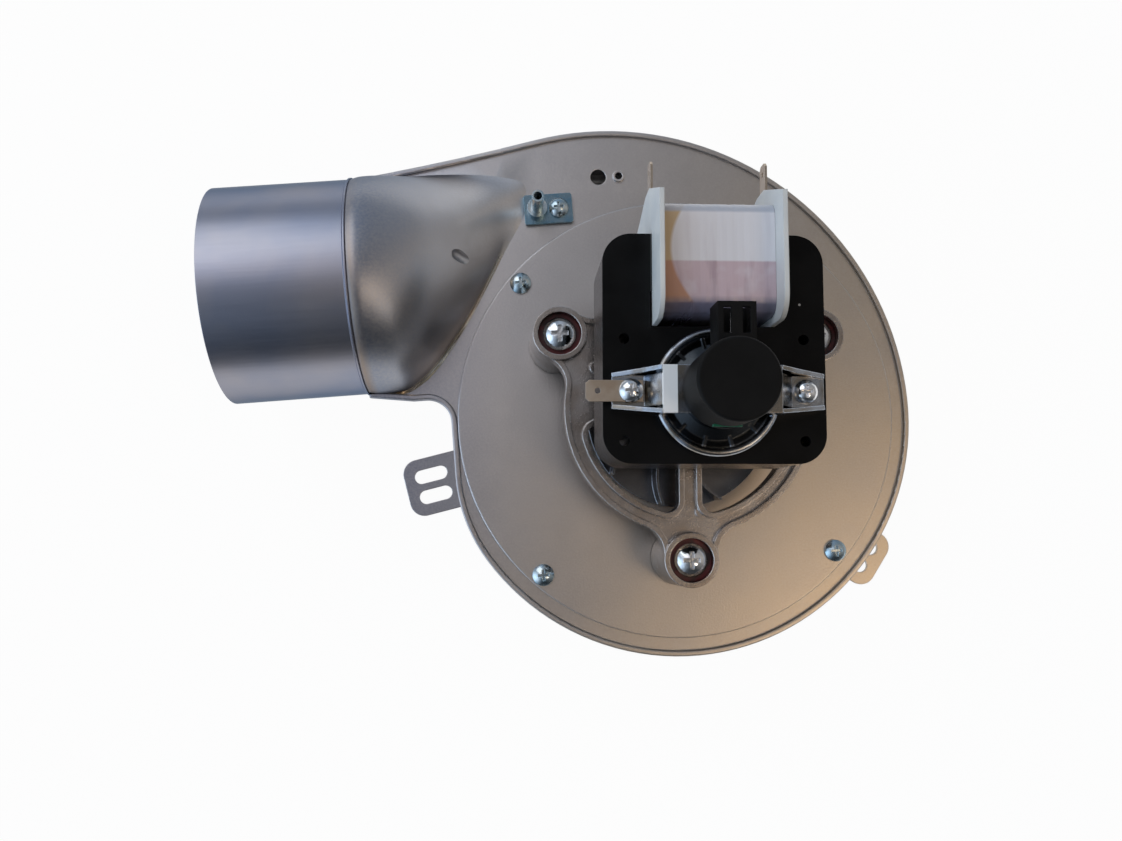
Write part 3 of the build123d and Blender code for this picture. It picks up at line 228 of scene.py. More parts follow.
class Grain(Enum):
    """Surface marks that a finish can carry."""

    PLAIN = "plain"
    SHEET = "sheet"
    DRAWN = "drawn"
    CAST = "cast"
    TURNED = "turned"
    STACKED = "stacked"


@dataclass(frozen=True)
class Finish:
    """One finish: two colours that drift into each other, its gloss and its fine marks.

    Lengths are in millimetres. Colours are linear.

    Attributes:
        name: The material's name.
        colour: The main colour.
        other: The colour that it drifts to.
        metallic: How metallic the surface is, from 0 to 1.
        roughness: The middle of its roughness.
        spread: How far the roughness wanders to either side.
        patch: The size of the drifting patches.
        grain: The kind of fine marks.
        grain_size: The size of the fine marks.
        grain_depth: Their depth.
        edge: How far the edges look rounded.
        edge_gain: How much lighter the painted highlight on an edge is.
        coat: The weight of a clear coat.
        coat_roughness: The coat's roughness.
        specular: The strength of the plain reflection.
        grazing: The tint of the reflection at a grazing angle.
        dust: The spacing of dust specks, or 0 for none.
    """

    name: str
    colour: Colour
    other: Colour
    metallic: float = 0.0
    roughness: float = 0.5
    spread: float = 0.08
    patch: float = 25.0
    grain: Grain = Grain.PLAIN
    grain_size: float = 0.4
    grain_depth: float = 0.01
    edge: float = 0.0
    edge_gain: float = 0.0
    coat: float = 0.0
    coat_roughness: float = 0.1
    specular: float = 0.5
    grazing: Colour = (1.0, 1.0, 1.0)
    dust: float = 0.0

    def material(self) -> bpy.types.Material:
        """Build the finish as a node material.

        Returns:
            The new material, which reads object coordinates in metres.
        """
        book = NodeBook(self.name)
        place = book.place()
        drift = book.noise(place, 1.0 / (self.patch * MM), detail=3.0)
        tint = book.blend(book.range(drift, *DRIFT, 0.0, 1.0), self.colour, self.other)
        marks = self._marks(book, place)
        rough = book.range(marks, 0.0, 1.0, *self._gloss())
        normal = book.bump(marks, self.grain_depth * MM, self._edge_normal(book))
        # Painted highlight: near an edge the tint is lightened by edge_gain.
        if self.edge_gain > 0.0:
            tint = self._edge_highlights(book, tint)
        if self.dust > 0.0:
            tint = book.blend(book.specks(place, self.dust * MM), tint, DUST)
        return book.finish(self._shader(book, tint, rough, normal))

    def _shader(self, book: NodeBook, tint: Socket, rough: Socket, normal: Socket) -> bpy.types.Node:
        """Return the surface shader with the finish's gloss."""
        shader = book.principled(tint, rough, normal, self.metallic)
        shader.inputs["Coat Weight"].default_value = self.coat
        shader.inputs["Coat Roughness"].default_value = self.coat_roughness
        shader.inputs["Specular IOR Level"].default_value = self.specular
        shader.inputs["Specular Tint"].default_value = (*self.grazing, 1.0)
        return shader

    def _marks(self, book: NodeBook, place: Socket) -> Socket:
        """Return the fine marks' height, from 0 to 1."""
        scale = 1.0 / (self.grain_size * MM)
        if self.grain is Grain.DRAWN:
            return book.noise(book.stretch(place, (0.04, 1.0, 1.0)), scale, detail=4.0)
        if self.grain is Grain.TURNED:
            return book.noise(book.stretch(place, (0.2, 0.2, 6.0)), scale, detail=2.0)
        if self.grain is Grain.STACKED:
            return book.bands(place, self.grain_size * MM)
        if self.grain is Grain.CAST:
            fine = book.noise(place, scale, detail=6.0)
            broad = book.noise(place, scale * 0.2, detail=3.0)
            return book.mix(0.45, fine, broad)
        if self.grain is Grain.SHEET:
            fine = book.noise(place, scale, detail=5.0)
            broad = book.noise(place, scale * 0.08, detail=2.0)
            return book.mix(0.3, fine, broad)
        return book.noise(place, scale, detail=2.0)

    def _gloss(self) -> Span:
        """Return the least and the greatest roughness."""
        return self.roughness - self.spread, self.roughness + self.spread

    def _edge_normal(self, book: NodeBook) -> Socket | None:
        """Return a normal that rounds the edges, or None where they stay crisp."""
        if self.edge <= 0.0:
            return None
        return book.round_edges(self.edge * MM)

    def _edge_highlights(self, book: NodeBook, tint: Socket) -> Socket:
        """Return the tint with a painted highlight at an edge: lighter where the rounded normal leaves the
        true one.
        """
        highlit = book.edge_mask(max(self.edge, EDGE_HIGHLIGHT_RADIUS) * MM)
        gain = 1.0 + self.edge_gain
        light = tuple(min(1.0, value * gain + EDGE_HIGHLIGHT_LIFT * self.edge_gain) for value in self.colour)
        return book.blend(highlit, tint, light)


@dataclass(frozen=True)
class CasingSheet(Finish):
    """Coated steel sheet: bluish on the neck, cool beside it, a painted warm reflection towards the lower
    right, and speckled.

    The tint follows x and y over the casing. A press mark on the neck is a shallow hollow, and the neck's
    lip has a brown band on its lower half: heat tint, and painted shade where the spigot steps into the
    neck.
    Below the level called fold the sheet is polished and carries a painted pale golden highlight along the
    crease, which fades out between the two values of y called fold_ends. Lengths are in millimetres.
    """

    cool: Colour = (0.56, 0.55, 0.57)
    warm_reflection: Colour = (0.58, 0.48, 0.35)
    blued: Colour = (0.27, 0.28, 0.34)
    neck: Span = (-108.0, -66.0)
    lip_band: Colour = (0.34, 0.24, 0.15)
    lip_band_share: float = 0.6
    lip_band_least: float = 0.2
    lip_band_fade: Span = (58.0, 85.0)
    lip_band_level: Span = (44.0, 48.0)
    slant: float = 0.55
    side: float = 130.0
    patched: float = 0.35
    patch_range: Span = (0.4, 0.7)
    specked: float = 0.36
    speck_range: Span = (0.35, 0.75)
    noise_range: Span = (0.2, 0.8)
    mark: Place = (-76.0, 62.5, 2.4)
    mark_depth: float = 1.0
    mark_waver: float = 1.6
    mark_waver_size: float = 1000.0 / 130.0
    lip: float = -112.4
    lip_width: float = 3.0
    fold: float = -10.0
    fold_depth: float = 0.6
    fold_ends: Span = (60.0, 72.0)
    fold_highlight_tint: Colour = (1.0, 0.90, 0.72)
    fold_rough: float = 0.16

    def material(self) -> bpy.types.Material:
        """Build the sheet's material.

        Returns:
            The new material.
        """
        book = NodeBook(self.name)
        place = book.place()
        x, y, z = book.axes(place)
        # Painted reflection: the tint runs from cool to warm towards the lower right, where a warm lamp is
        # mirrored.
        slope = book.math("SUBTRACT", x, book.math("MULTIPLY", y, self.slant))
        side = book.range(slope, -self.side * MM, self.side * MM, 0.0, 1.0)
        tint = book.blend(side, self.cool, self.warm_reflection)
        drift = book.noise(place, 1.0 / (self.patch * MM), detail=3.0)
        tint = book.blend(book.range(drift, *self.patch_range, 0.0, self.patched), tint, self.other)
        start, end = (value * MM for value in self.neck)
        tint = book.blend(book.range(x, start, end, 1.0, 0.0), tint, self.blued)
        speck = book.noise(place, 1.0 / (self.grain_size * MM), detail=6.0)
        tint = book.blend(book.range(speck, *self.speck_range, 0.0, self.specked), tint, self.colour)
        marks = self._marks(book, place)
        rough = book.range(marks, *self.noise_range, *self._gloss())
        grain = book.bump(marks, self.grain_depth * MM, self._edge_normal(book))
        normal = book.bump(self._hollow(book, place, x, y), self.mark_depth * MM, grain)
        # Heat tint and painted shade: a brown band on the lower half of the neck's lip, standing in for the
        # shade where the spigot steps into the neck.
        tint = book.blend(self._lip_band(book, x, y, z), tint, self.lip_band)
        tint = self._edge_highlights(book, tint)
        # Painted highlight: a pale golden band along the crease at the neck's foot, with lower roughness
        # there.
        full, none = (value * MM for value in self.fold_ends)
        below = book.range(z, (self.fold + self.fold_depth) * MM, self.fold * MM, 0.0, 1.0)
        fold_highlight = book.math("MULTIPLY", below, book.range(y, full, none, 1.0, 0.0))
        tint = book.blend(fold_highlight, tint, self.fold_highlight_tint)
        polish = book.math("MULTIPLY", fold_highlight, self.roughness - self.fold_rough)
        rough = book.math("SUBTRACT", rough, polish)
        return book.finish(self._shader(book, tint, rough, normal))

    def _hollow(self, book: NodeBook, place: Socket, x: Socket, y: Socket) -> Socket:
        """Return an uneven hollow's height: the squared distance from its middle, up to its radius."""
        middle_x, middle_y, radius = (value * MM for value in self.mark)
        wander = book.noise(place, 1.0 / (self.mark_waver_size * MM), detail=0.0)
        waver = book.range(wander, *self.noise_range, -self.mark_waver * MM, self.mark_waver * MM)
        across = book.squared(book.math("ADD", book.math("SUBTRACT", x, middle_x), waver))
        along = book.squared(book.math("SUBTRACT", y, middle_y))
        return book.range(book.math("ADD", across, along), 0.0, radius * radius, 0.0, 1.0)

    def _lip_band(self, book: NodeBook, x: Socket, y: Socket, z: Socket) -> Socket:
        """Return how far the brown lip band covers, heat tint with painted shade of the step: most at the
        lip, less upwards, none below the seam.
        """
        off = book.math("ABSOLUTE", book.math("SUBTRACT", x, self.lip * MM))
        near = book.range(off, 0.0, self.lip_width * MM, self.lip_band_share, 0.0)
        full, faint = (value * MM for value in self.lip_band_fade)
        low = book.range(y, full, faint, 1.0, self.lip_band_least)
        none, whole = (value * MM for value in self.lip_band_level)
        front = book.range(z, none, whole, 0.0, 1.0)
        return book.math("MULTIPLY", book.math("MULTIPLY", near, low), front)


@dataclass(frozen=True)
class BracketCasting(Finish):
    """Bright casting of the front bracket: painted dark shade in its hollow, and a painted pale, matt
    highlight on its left strap end.

    The face and the hollow lie in the motor's own frame, in millimetres.
    """

    drift_range: Span = (0.4, 0.6)
    pale: Colour = (1.0, 0.99, 0.96)
    face_from: Span = (-17.7, -13.4)
    face_level: float = 128.0
    face_blur: float = 0.2
    hollow: Colour = (0.05, 0.055, 0.06)
    hollow_radius: float = 16.3
    hollow_level: float = 126.5
    hollow_blur: float = 0.5

    def material(self) -> bpy.types.Material:
        """Build the casting's material.

        Returns:
            The new material.
        """
        book = NodeBook(self.name)
        place = book.place()
        x, y, z = book.axes(book.stretch(place, (1.0, 1.0, 1.0), turn=-MOTOR_TURN))
        drift = book.noise(place, 1.0 / (self.patch * MM), detail=3.0)
        tint = book.blend(book.range(drift, *self.drift_range, 0.0, 1.0), self.colour, self.other)
        marks = self._marks(book, place)
        rough = book.range(marks, 0.0, 1.0, *self._gloss())
        normal = book.bump(marks, self.grain_depth * MM, self._edge_normal(book))
        tint = self._edge_highlights(book, tint)
        # Painted shade: inside the hollow's radius and below its level the tint turns nearly black.
        squares = book.math("ADD", book.math("MULTIPLY", x, x), book.math("MULTIPLY", y, y))
        radius = book.math("POWER", squares, 0.5)
        blur = self.hollow_blur * MM
        rim, top = self.hollow_radius * MM, self.hollow_level * MM
        within = book.math("MULTIPLY", book.range(radius, rim, rim + blur, 1.0, 0.0),
                           book.range(z, top, top + blur, 1.0, 0.0))
        tint = book.blend(within, tint, self.hollow)
        # Painted highlight: the left strap end turns pale and non-metallic, standing in for the bright
        # window it reflects.
        blur = self.face_blur * MM
        start, end = (value * MM for value in self.face_from)
        inside = book.math("MULTIPLY", book.range(x, start - blur, start, 0.0, 1.0),
                           book.range(x, end, end + blur, 1.0, 0.0))
        level = self.face_level * MM
        face = book.math("MULTIPLY", inside, book.range(z, level - 2.0 * blur, level, 0.0, 1.0))
        shader = self._shader(book, book.blend(face, tint, self.pale), rough, normal)
        book.plug(shader.inputs["Metallic"], book.range(face, 0.0, 1.0, self.metallic, 0.0))
        return book.finish(shader)


@dataclass(frozen=True)
class CoilTapeFinish(Finish):
    """Clear tape over the winding: milky above, the other colour below, paper at the left end, and a
    painted dark reflection along its foot.

    In the motor's own frame y splits the milky from the other part, and the paper ends at an arc: its
    edge lies at x = paper_edge + bow * (y - arc_middle) ** 2. Lengths are in millimetres.
    """

    top: Colour = (0.42, 0.45, 0.52)
    top_share: float = 0.8
    ochre: Colour = (0.58, 0.42, 0.24)
    orange: Colour = (0.52, 0.27, 0.17)
    shade: Colour = (0.14, 0.14, 0.20)
    shade_share: float = 0.9
    line: Colour = (0.30, 0.20, 0.24)
    split: float = 39.0
    crown: Span = (53.8, 54.6)
    foot: Span = (26.0, 28.5)
    paper_edge: float = -14.3
    paper_blur: float = 0.5
    arc_middle: float = 43.0
    bow: float = 25.0
    blur: float = 0.3
    fold_stretch: Place = (1.0, 0.12, 0.12)
    fold_range: Span = (0.3, 0.7)
    line_range: Span = (0.56, 0.68)
    line_share: Span = (0.1, 0.5)
    haze: float = 0.35
    haze_range: Span = (0.5, 0.75)

    def material(self) -> bpy.types.Material:
        """Build the tape's material.

        Returns:
            The new material.
        """
        book = NodeBook(self.name)
        place = book.stretch(book.place(), (1.0, 1.0, 1.0), turn=-MOTOR_TURN)
        x, y, _ = book.axes(place)
        lower = book.range(y, (self.split + self.blur) * MM, (self.split - self.blur) * MM, 0.0, 1.0)
        fold = book.noise(book.stretch(place, self.fold_stretch), 1.0 / (self.grain_size * MM), detail=5.0)
        soft = book.noise(place, 1.0 / (self.patch * MM), detail=2.0)
        tint = book.blend(lower, self.colour, self.other)
        lined = book.math("MULTIPLY", book.range(fold, *self.line_range, 0.0, 1.0),
                          book.range(lower, 0.0, 1.0, *self.line_share))
        tint = book.blend(lined, tint, self.line)
        tint = book.blend(book.range(soft, *self.haze_range, 0.0, self.haze), tint, self.colour)
        paper = book.blend(lower, self.ochre, self.orange)
        arc = book.squared(book.math("SUBTRACT", y, self.arc_middle * MM))
        edge = book.math("SUBTRACT", x, book.math("MULTIPLY", arc, self.bow))
        inner, outer = (self.paper_edge - self.paper_blur) * MM, (self.paper_edge + self.paper_blur) * MM
        tint = book.blend(book.range(edge, inner, outer, 1.0, 0.0), tint, paper)
        low, high = (value * MM for value in self.crown)
        tint = book.blend(book.range(y, low, high, 0.0, self.top_share), tint, self.top)
        # Painted reflection: the foot of the tape turns dark bluish, as if it mirrored the black stack
        # below.
        low, high = (value * MM for value in self.foot)
        tint = book.blend(book.range(y, low, high, self.shade_share, 0.0), tint, self.shade)
        rough = book.range(fold, *self.fold_range, *self._gloss())
        normal = book.bump(fold, self.grain_depth * MM, None)
        return book.finish(self._shader(book, tint, rough, normal))


SHEET = CasingSheet("casing_sheet", (0.66, 0.63, 0.60), (0.44, 0.43, 0.44), metallic=1.0, roughness=0.33,
                    spread=0.06, patch=40.0, grain=Grain.SHEET, grain_size=0.7, grain_depth=0.04,
                    edge=0.5, edge_gain=0.4, grazing=(0.35, 0.40, 0.46))
NECK = CasingSheet("neck_sheet", (0.56, 0.53, 0.50), (0.40, 0.39, 0.40), metallic=1.0, roughness=0.4,
                   spread=0.04, patch=22.0, grain_size=0.9, grain_depth=0.03, edge_gain=0.3,
                   grazing=(0.35, 0.40, 0.46), cool=(0.70, 0.69, 0.71), blued=(0.28, 0.30, 0.36),
                   fold=44.4)
PLATE = replace(SHEET, name="plate_sheet", grain_depth=0.06, edge=0.9, edge_gain=0.9,
                grazing=(1.0, 1.0, 1.0))
TUBE = Finish("spigot_sheet", (0.30, 0.32, 0.40), (0.38, 0.37, 0.41), metallic=1.0, roughness=0.34,
              spread=0.05, patch=30.0, grain=Grain.DRAWN, grain_size=0.8, grain_depth=0.012,
              edge=0.3, edge_gain=0.5, grazing=(0.25, 0.32, 0.40))
ZINC = Finish("zinc_plate", (0.40, 0.54, 0.62), (0.62, 0.66, 0.66), metallic=1.0, roughness=0.2,
              patch=3.0, grain_size=0.5, grain_depth=0.02, edge=0.25, edge_gain=0.4)
TAP_ZINC = Finish("tap_zinc", (0.16, 0.29, 0.39), (0.24, 0.34, 0.40), metallic=1.0, roughness=0.24,
                  patch=3.0, grain_size=0.5, grain_depth=0.02, edge=0.3, edge_gain=1.6)
BRIGHT = Finish("bright_screw", (0.86, 0.86, 0.86), (0.66, 0.68, 0.70), metallic=1.0, roughness=0.13,
                spread=0.05, patch=2.0, grain_size=1.4, grain_depth=0.09, edge=0.3, edge_gain=0.2)
CASTING = Finish("cast_alloy", (0.46, 0.43, 0.41), (0.36, 0.31, 0.27), metallic=1.0, roughness=0.25,
                 spread=0.1, patch=9.0, grain=Grain.CAST, grain_size=0.5, grain_depth=0.05,
                 edge=0.5, edge_gain=1.0)
BRACKET = BracketCasting("cast_bracket", (0.40, 0.44, 0.50), (0.28, 0.26, 0.23), metallic=1.0,
                         roughness=0.2, spread=0.08, patch=7.0, grain=Grain.CAST, grain_size=0.6,
                         grain_depth=0.05, edge=0.5, edge_gain=0.7)
LACQUER = Finish("black_lacquer", (0.004, 0.004, 0.004), (0.007, 0.007, 0.007), roughness=0.25,
                 spread=0.06, patch=12.0, grain=Grain.SHEET, grain_size=1.2, grain_depth=0.01,
                 edge=0.3, specular=0.1, dust=9.0)
CORE = Finish("sheet_stack", (0.05, 0.05, 0.05), (0.03, 0.03, 0.03), metallic=0.6, roughness=0.4,
              grain=Grain.STACKED, grain_size=0.5, grain_depth=0.03)
NYLON = Finish("white_nylon", (0.76, 0.77, 0.74), (0.68, 0.70, 0.69), roughness=0.42, patch=12.0,
               grain_size=1.5, grain_depth=0.01, edge=0.5)
TAPE = CoilTapeFinish("coil_tape", (0.78, 0.76, 0.78), (0.60, 0.46, 0.49), roughness=0.34, spread=0.1,
                      patch=1000.0 / 160.0, grain_size=1000.0 / 240.0, grain_depth=0.05,
                      coat=0.5, coat_roughness=0.15)
COPPER = Finish("copper_wire", (0.62, 0.30, 0.18), (0.72, 0.40, 0.24), metallic=1.0, roughness=0.3,
                patch=6.0, grain=Grain.TURNED, grain_size=0.3, grain_depth=0.03)
TINNED = Finish("tinned_brass", (0.40, 0.33, 0.26), (0.48, 0.42, 0.35), metallic=1.0, roughness=0.36,
                patch=5.0, grain_size=0.4, grain_depth=0.01, edge=0.2, edge_gain=0.6)
BLACK = Finish("black_plastic", (0.004, 0.004, 0.004), (0.006, 0.006, 0.006), roughness=0.55,
               patch=10.0, grain_size=0.25, grain_depth=0.01, edge=0.5, specular=0.12)
RUBBER = Finish("red_rubber", (0.13, 0.005, 0.006), (0.02, 0.003, 0.003), roughness=0.35, patch=4.0,
                grain_size=0.6, grain_depth=0.01, edge=0.4)
BOARD = Finish("green_board", (0.01, 0.13, 0.07), (0.015, 0.20, 0.10), roughness=0.3, patch=5.0,
               grain_size=0.5, grain_depth=0.005, coat=0.4, edge=0.2, edge_gain=0.8)
SEAL = Finish("fibre_seal", (0.20, 0.18, 0.16), (0.15, 0.14, 0.13), roughness=0.85, patch=3.0,
              grain_size=0.3, grain_depth=0.05)
STEEL = Finish("ground_steel", (0.55, 0.55, 0.57), (0.46, 0.46, 0.48), metallic=1.0, roughness=0.22,
               patch=8.0, grain=Grain.TURNED, grain_size=0.3, grain_depth=0.004, edge=0.2, edge_gain=0.2)
WHEEL = Finish("wheel_sheet", (0.58, 0.58, 0.58), (0.46, 0.46, 0.47), metallic=1.0, roughness=0.26,
               patch=15.0, grain=Grain.SHEET, grain_size=0.5, grain_depth=0.01, edge=0.2, edge_gain=0.4)
# Painted shade: the cooling fan is darkened to stand in for the shade in the cavity under the spider
# bracket; its edges carry a strong painted highlight.
SHADED_BLADES = Finish("shaded_blade_sheet", (0.20, 0.21, 0.23), (0.14, 0.14, 0.15), metallic=1.0, roughness=0.24,
                patch=9.0, grain=Grain.SHEET, grain_size=0.5, grain_depth=0.01, edge=0.3, edge_gain=1.6)
MAGNET = Finish("bonded_magnet", (0.06, 0.06, 0.065), (0.04, 0.04, 0.045), roughness=0.6, patch=4.0,
                grain_size=0.3, grain_depth=0.01)


@functools.cache
def material_of(finish: Finish) -> bpy.types.Material:
    """Return the finish's material, made once."""
    return finish.material()


def dress(nodes: dict[str, Finish]) -> None:
    """Give CAD nodes their finishes.

    Args:
        nodes: The finish for each node's name.
    """
    for name, finish in nodes.items():
        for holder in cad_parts[name].material_slots:
            holder.material = material_of(finish)
        LOG.info("dressed %s as %s", name, finish.name)


def placed(name: str, data: bpy.types.ID) -> bpy.types.Object:
    """Return a new object of the data, at the origin of the scene."""
    piece = bpy.data.objects.new(name, data)
    bpy.context.scene.collection.objects.link(piece)
    return piece


def skin(name: str, grid: np.ndarray, finish: Finish, wall: float,
         closed: bool = False) -> bpy.types.Object:
    """Make a thin skin from a grid of points.

    Args:
        name: The piece's name.
        grid: Points in metres, as an array of rows, columns and three coordinates.
        finish: The piece's finish.
        wall: The skin's thickness in millimetres, laid inwards.
        closed: Whether the last column joins the first.

    Returns:
        The new object, at the origin.
    """
    rows, columns = grid.shape[:2]
    row = np.arange(rows - 1)[:, None]
    column = np.arange(columns if closed else columns - 1)[None, :]
    after = (column + 1) % columns
    near, far = row * columns, (row + 1) * columns
    faces = np.stack([near + column, far + column, far + after, near + after], axis=-1).reshape(-1, 4)
    mesh = bpy.data.meshes.new(name)
    mesh.from_pydata(grid.reshape(-1, 3).tolist(), [], faces.tolist())
    mesh.shade_smooth()
    mesh.materials.append(material_of(finish))
    piece = placed(name, mesh)
    thick = piece.modifiers.new("wall", "SOLIDIFY")
    thick.thickness = wall * MM
    thick.offset = -1.0
    return piece


def motor_turned(points: np.ndarray) -> np.ndarray:
    """Return points of the motor's own frame in the part's frame: a turn about z, then metres."""
    cosine, sine = math.cos(MOTOR_TURN), math.sin(MOTOR_TURN)
    turn = np.array([[cosine, -sine, 0.0], [sine, cosine, 0.0], [0.0, 0.0, 1.0]])
    return points @ turn.T * MM


@dataclass(frozen=True)
class Glow:
    """One bright direction of the room."""

    toward: Place
    sharpness: float
    colour: Colour


@dataclass(frozen=True)
class Lamp:
    """One square lamp that looks at the fan: where it hangs and its side in metres, its power in watts."""

    name: str
    place: Place
    size: float
    power: float
    colour: Colour

    def hang(self) -> None:
        """Add the lamp to the scene."""
        data = bpy.data.lights.new(self.name, "AREA")
        data.size = self.size
        data.energy = self.power
        data.color = self.colour
        lamp = placed(self.name, data)
        lamp.location = self.place
        lamp.rotation_mode = "QUATERNION"
        lamp.rotation_quaternion = (-Vector(self.place)).to_track_quat("-Z", "Y")


@dataclass
class Studio:
    """Camera, lamps, world and floor.

    The camera's place is in millimetres, its tilt a turn about the vector of that length in radians.
    Overhead and low_side each give a range of a direction's z or y and the light's level at its ends.
    """

    place: Place = (-63.02, -31.12, 416.39)
    tilt: Place = (-0.092, 0.045, -0.002)
    lens: float = 32.085
    sensor: float = 36.0
    nearest: float = 0.01
    floor_size: float = 6.0
    floor_drop: float = 0.2
    floor_colour: Colour = (0.9, 0.9, 0.9)
    floor_glow: Colour = (1.0, 1.0, 1.0)
    floor_share: float = 0.96
    base: Colour = (0.20, 0.215, 0.235)
    overhead: tuple[float, float, float, float] = (0.80, 0.99, 1.0, 0.55)
    low_side: tuple[float, float, float, float] = (-0.8, -0.1, 0.2, 1.0)
    lamps: tuple[Lamp, ...] = (
        Lamp("window", (-0.55, 0.75, 0.8), 0.8, 2.6, (0.94, 0.97, 1.0)),
        Lamp("glint", (0.55, -0.5, 0.9), 0.07, 0.45, (1.0, 0.90, 0.78)),
    )
    glows: tuple[Glow, ...] = (
        Glow((0.38, -0.24, 0.895), 90.0, (4.2, 3.15, 2.15)),
        Glow((-0.30, 0.28, 0.91), 30.0, (1.15, 1.10, 1.16)),
        Glow((-0.10, 0.90, 0.42), 6.0, (0.12, 0.17, 0.25)),
        Glow((-0.90, -0.20, 0.36), 7.0, (1.2, 1.55, 2.0)),
        Glow((0.80, 0.10, 0.45), 5.0, (0.22, 0.18, 0.14)),
    )

    def build(self) -> None:
        """Set the whole studio."""
        self._camera()
        self._world()
        for lamp in self.lamps:
            lamp.hang()
        self._floor()
        bpy.context.scene.view_settings.view_transform = "Standard"

    def _camera(self) -> None:
        """Stand the camera where the photograph was taken, level with its tilt."""
        tilt = Vector(self.tilt)
        level = Matrix.Rotation(-MOTOR_TURN, 3, "Z")
        to_camera = Matrix.Rotation(tilt.length, 3, tilt.normalized()) @ level
        data = bpy.data.cameras.new("camera")
        data.lens = self.lens
        data.sensor_width = self.sensor
        data.clip_start = self.nearest
        camera = placed("camera", data)
        camera.matrix_world = Matrix.Translation(Vector(self.place) * MM) @ to_camera.transposed().to_4x4()
        bpy.context.scene.camera = camera

    def _world(self) -> None:
        """Light from all round.

        The room is a weak cool base, dim overhead and towards -Y, with a soft glow for each bright
        direction: its strength times the cosine to that direction, raised to its sharpness.
        """
        world = bpy.data.worlds.new("room")
        bpy.context.scene.world = world
        world.use_nodes = True
        world.node_tree.nodes.clear()
        book = NodeBook.of_tree(world.node_tree)
        way = book.node("ShaderNodeTexCoord").outputs["Generated"]
        _, y, z = book.axes(way)
        level = book.math("MULTIPLY", book.range(z, *self.overhead), book.range(y, *self.low_side))
        light = book.scaled(self.base, level)
        for glow in self.glows:
            facing = book.node("ShaderNodeVectorMath", operation="DOT_PRODUCT")
            book.plug(facing.inputs[0], way)
            facing.inputs[1].default_value = Vector(glow.toward).normalized()
            near = book.math("POWER", book.math("MAXIMUM", facing.outputs["Value"], 0.0), glow.sharpness)
            total = book.node("ShaderNodeVectorMath", operation="ADD")
            book.plug(total.inputs[0], light)
            book.plug(total.inputs[1], book.scaled(glow.colour, near))
            light = total.outputs["Vector"]
        background = book.node("ShaderNodeBackground")
        book.plug(background.inputs["Color"], light)
        output = book.node("ShaderNodeOutputWorld")
        book.plug(output.inputs["Surface"], background.outputs[0])

    def _floor(self) -> None:
        """Lay a pale floor just under the fan; it shows white and keeps the shadow."""
        half = self.floor_size / 2
        level = -self.floor_drop * MM
        ways = ((-1, -1), (1, -1), (1, 1), (-1, 1))
        mesh = bpy.data.meshes.new("floor")
        mesh.from_pydata([(side * half, end * half, level) for side, end in ways], [], [(0, 1, 2, 3)])
        book = NodeBook("pale_floor")
        white = book.node("ShaderNodeBsdfDiffuse")
        book.plug(white.inputs["Color"], self.floor_colour)
        glow = book.node("ShaderNodeEmission")
        book.plug(glow.inputs["Color"], self.floor_glow)
        path = book.node("ShaderNodeLightPath")
        seen = book.math("MAXIMUM", path.outputs["Is Camera Ray"], path.outputs["Is Glossy Ray"])
        seen = book.math("MAXIMUM", seen, path.outputs["Is Transmission Ray"])
        share = book.node("ShaderNodeMixShader")
        book.plug(share.inputs[0], book.math("MULTIPLY", seen, self.floor_share))
        book.plug(share.inputs[1], white.outputs[0])
        book.plug(share.inputs[2], glow.outputs[0])
        mesh.materials.append(book.finish(share))
        floor = placed("floor", mesh)


def flowing(at: np.ndarray, known_at: np.ndarray, known: np.ndarray) -> np.ndarray:
    """Carry a smooth line through known values.

    Between two values runs a cubic. Its slope at each value is the harmonic mean of the slopes on
    either side, and 0 where they differ in sign, so the line doesn't overshoot.

    Args:
        at: Where the line is wanted.
        known_at: Where the values are known, rising.
        known: The values.

    Returns:
        The line's values.
    """
    gap = np.diff(known_at)
    rise = np.diff(known) / gap
    same = rise[:-1] * rise[1:] > 0.0
    safe = np.where(same, rise[:-1] + rise[1:], 1.0)
    inner = np.where(same, 2.0 * rise[:-1] * rise[1:] / safe, 0.0)
    slope = np.concatenate([[0.0], inner, [rise[-1]]])
    piece = np.clip(np.searchsorted(known_at, at) - 1, 0, len(gap) - 1)
    part = (at - known_at[piece]) / gap[piece]
    start = known[piece] * (2 * part ** 3 - 3 * part ** 2 + 1)
    end = known[piece + 1] * (3 * part ** 2 - 2 * part ** 3)
    lean = slope[piece] * (part ** 3 - 2 * part ** 2 + part) + slope[piece + 1] * (part ** 3 - part ** 2)
    return start + end + lean * gap[piece]


@dataclass(frozen=True)
class Section:
    """One section across the neck: its place, crease, crest, height over the seam, and how soft it is."""

    at: float
    crease: float
    crest: float
    crown: float
    soft: float


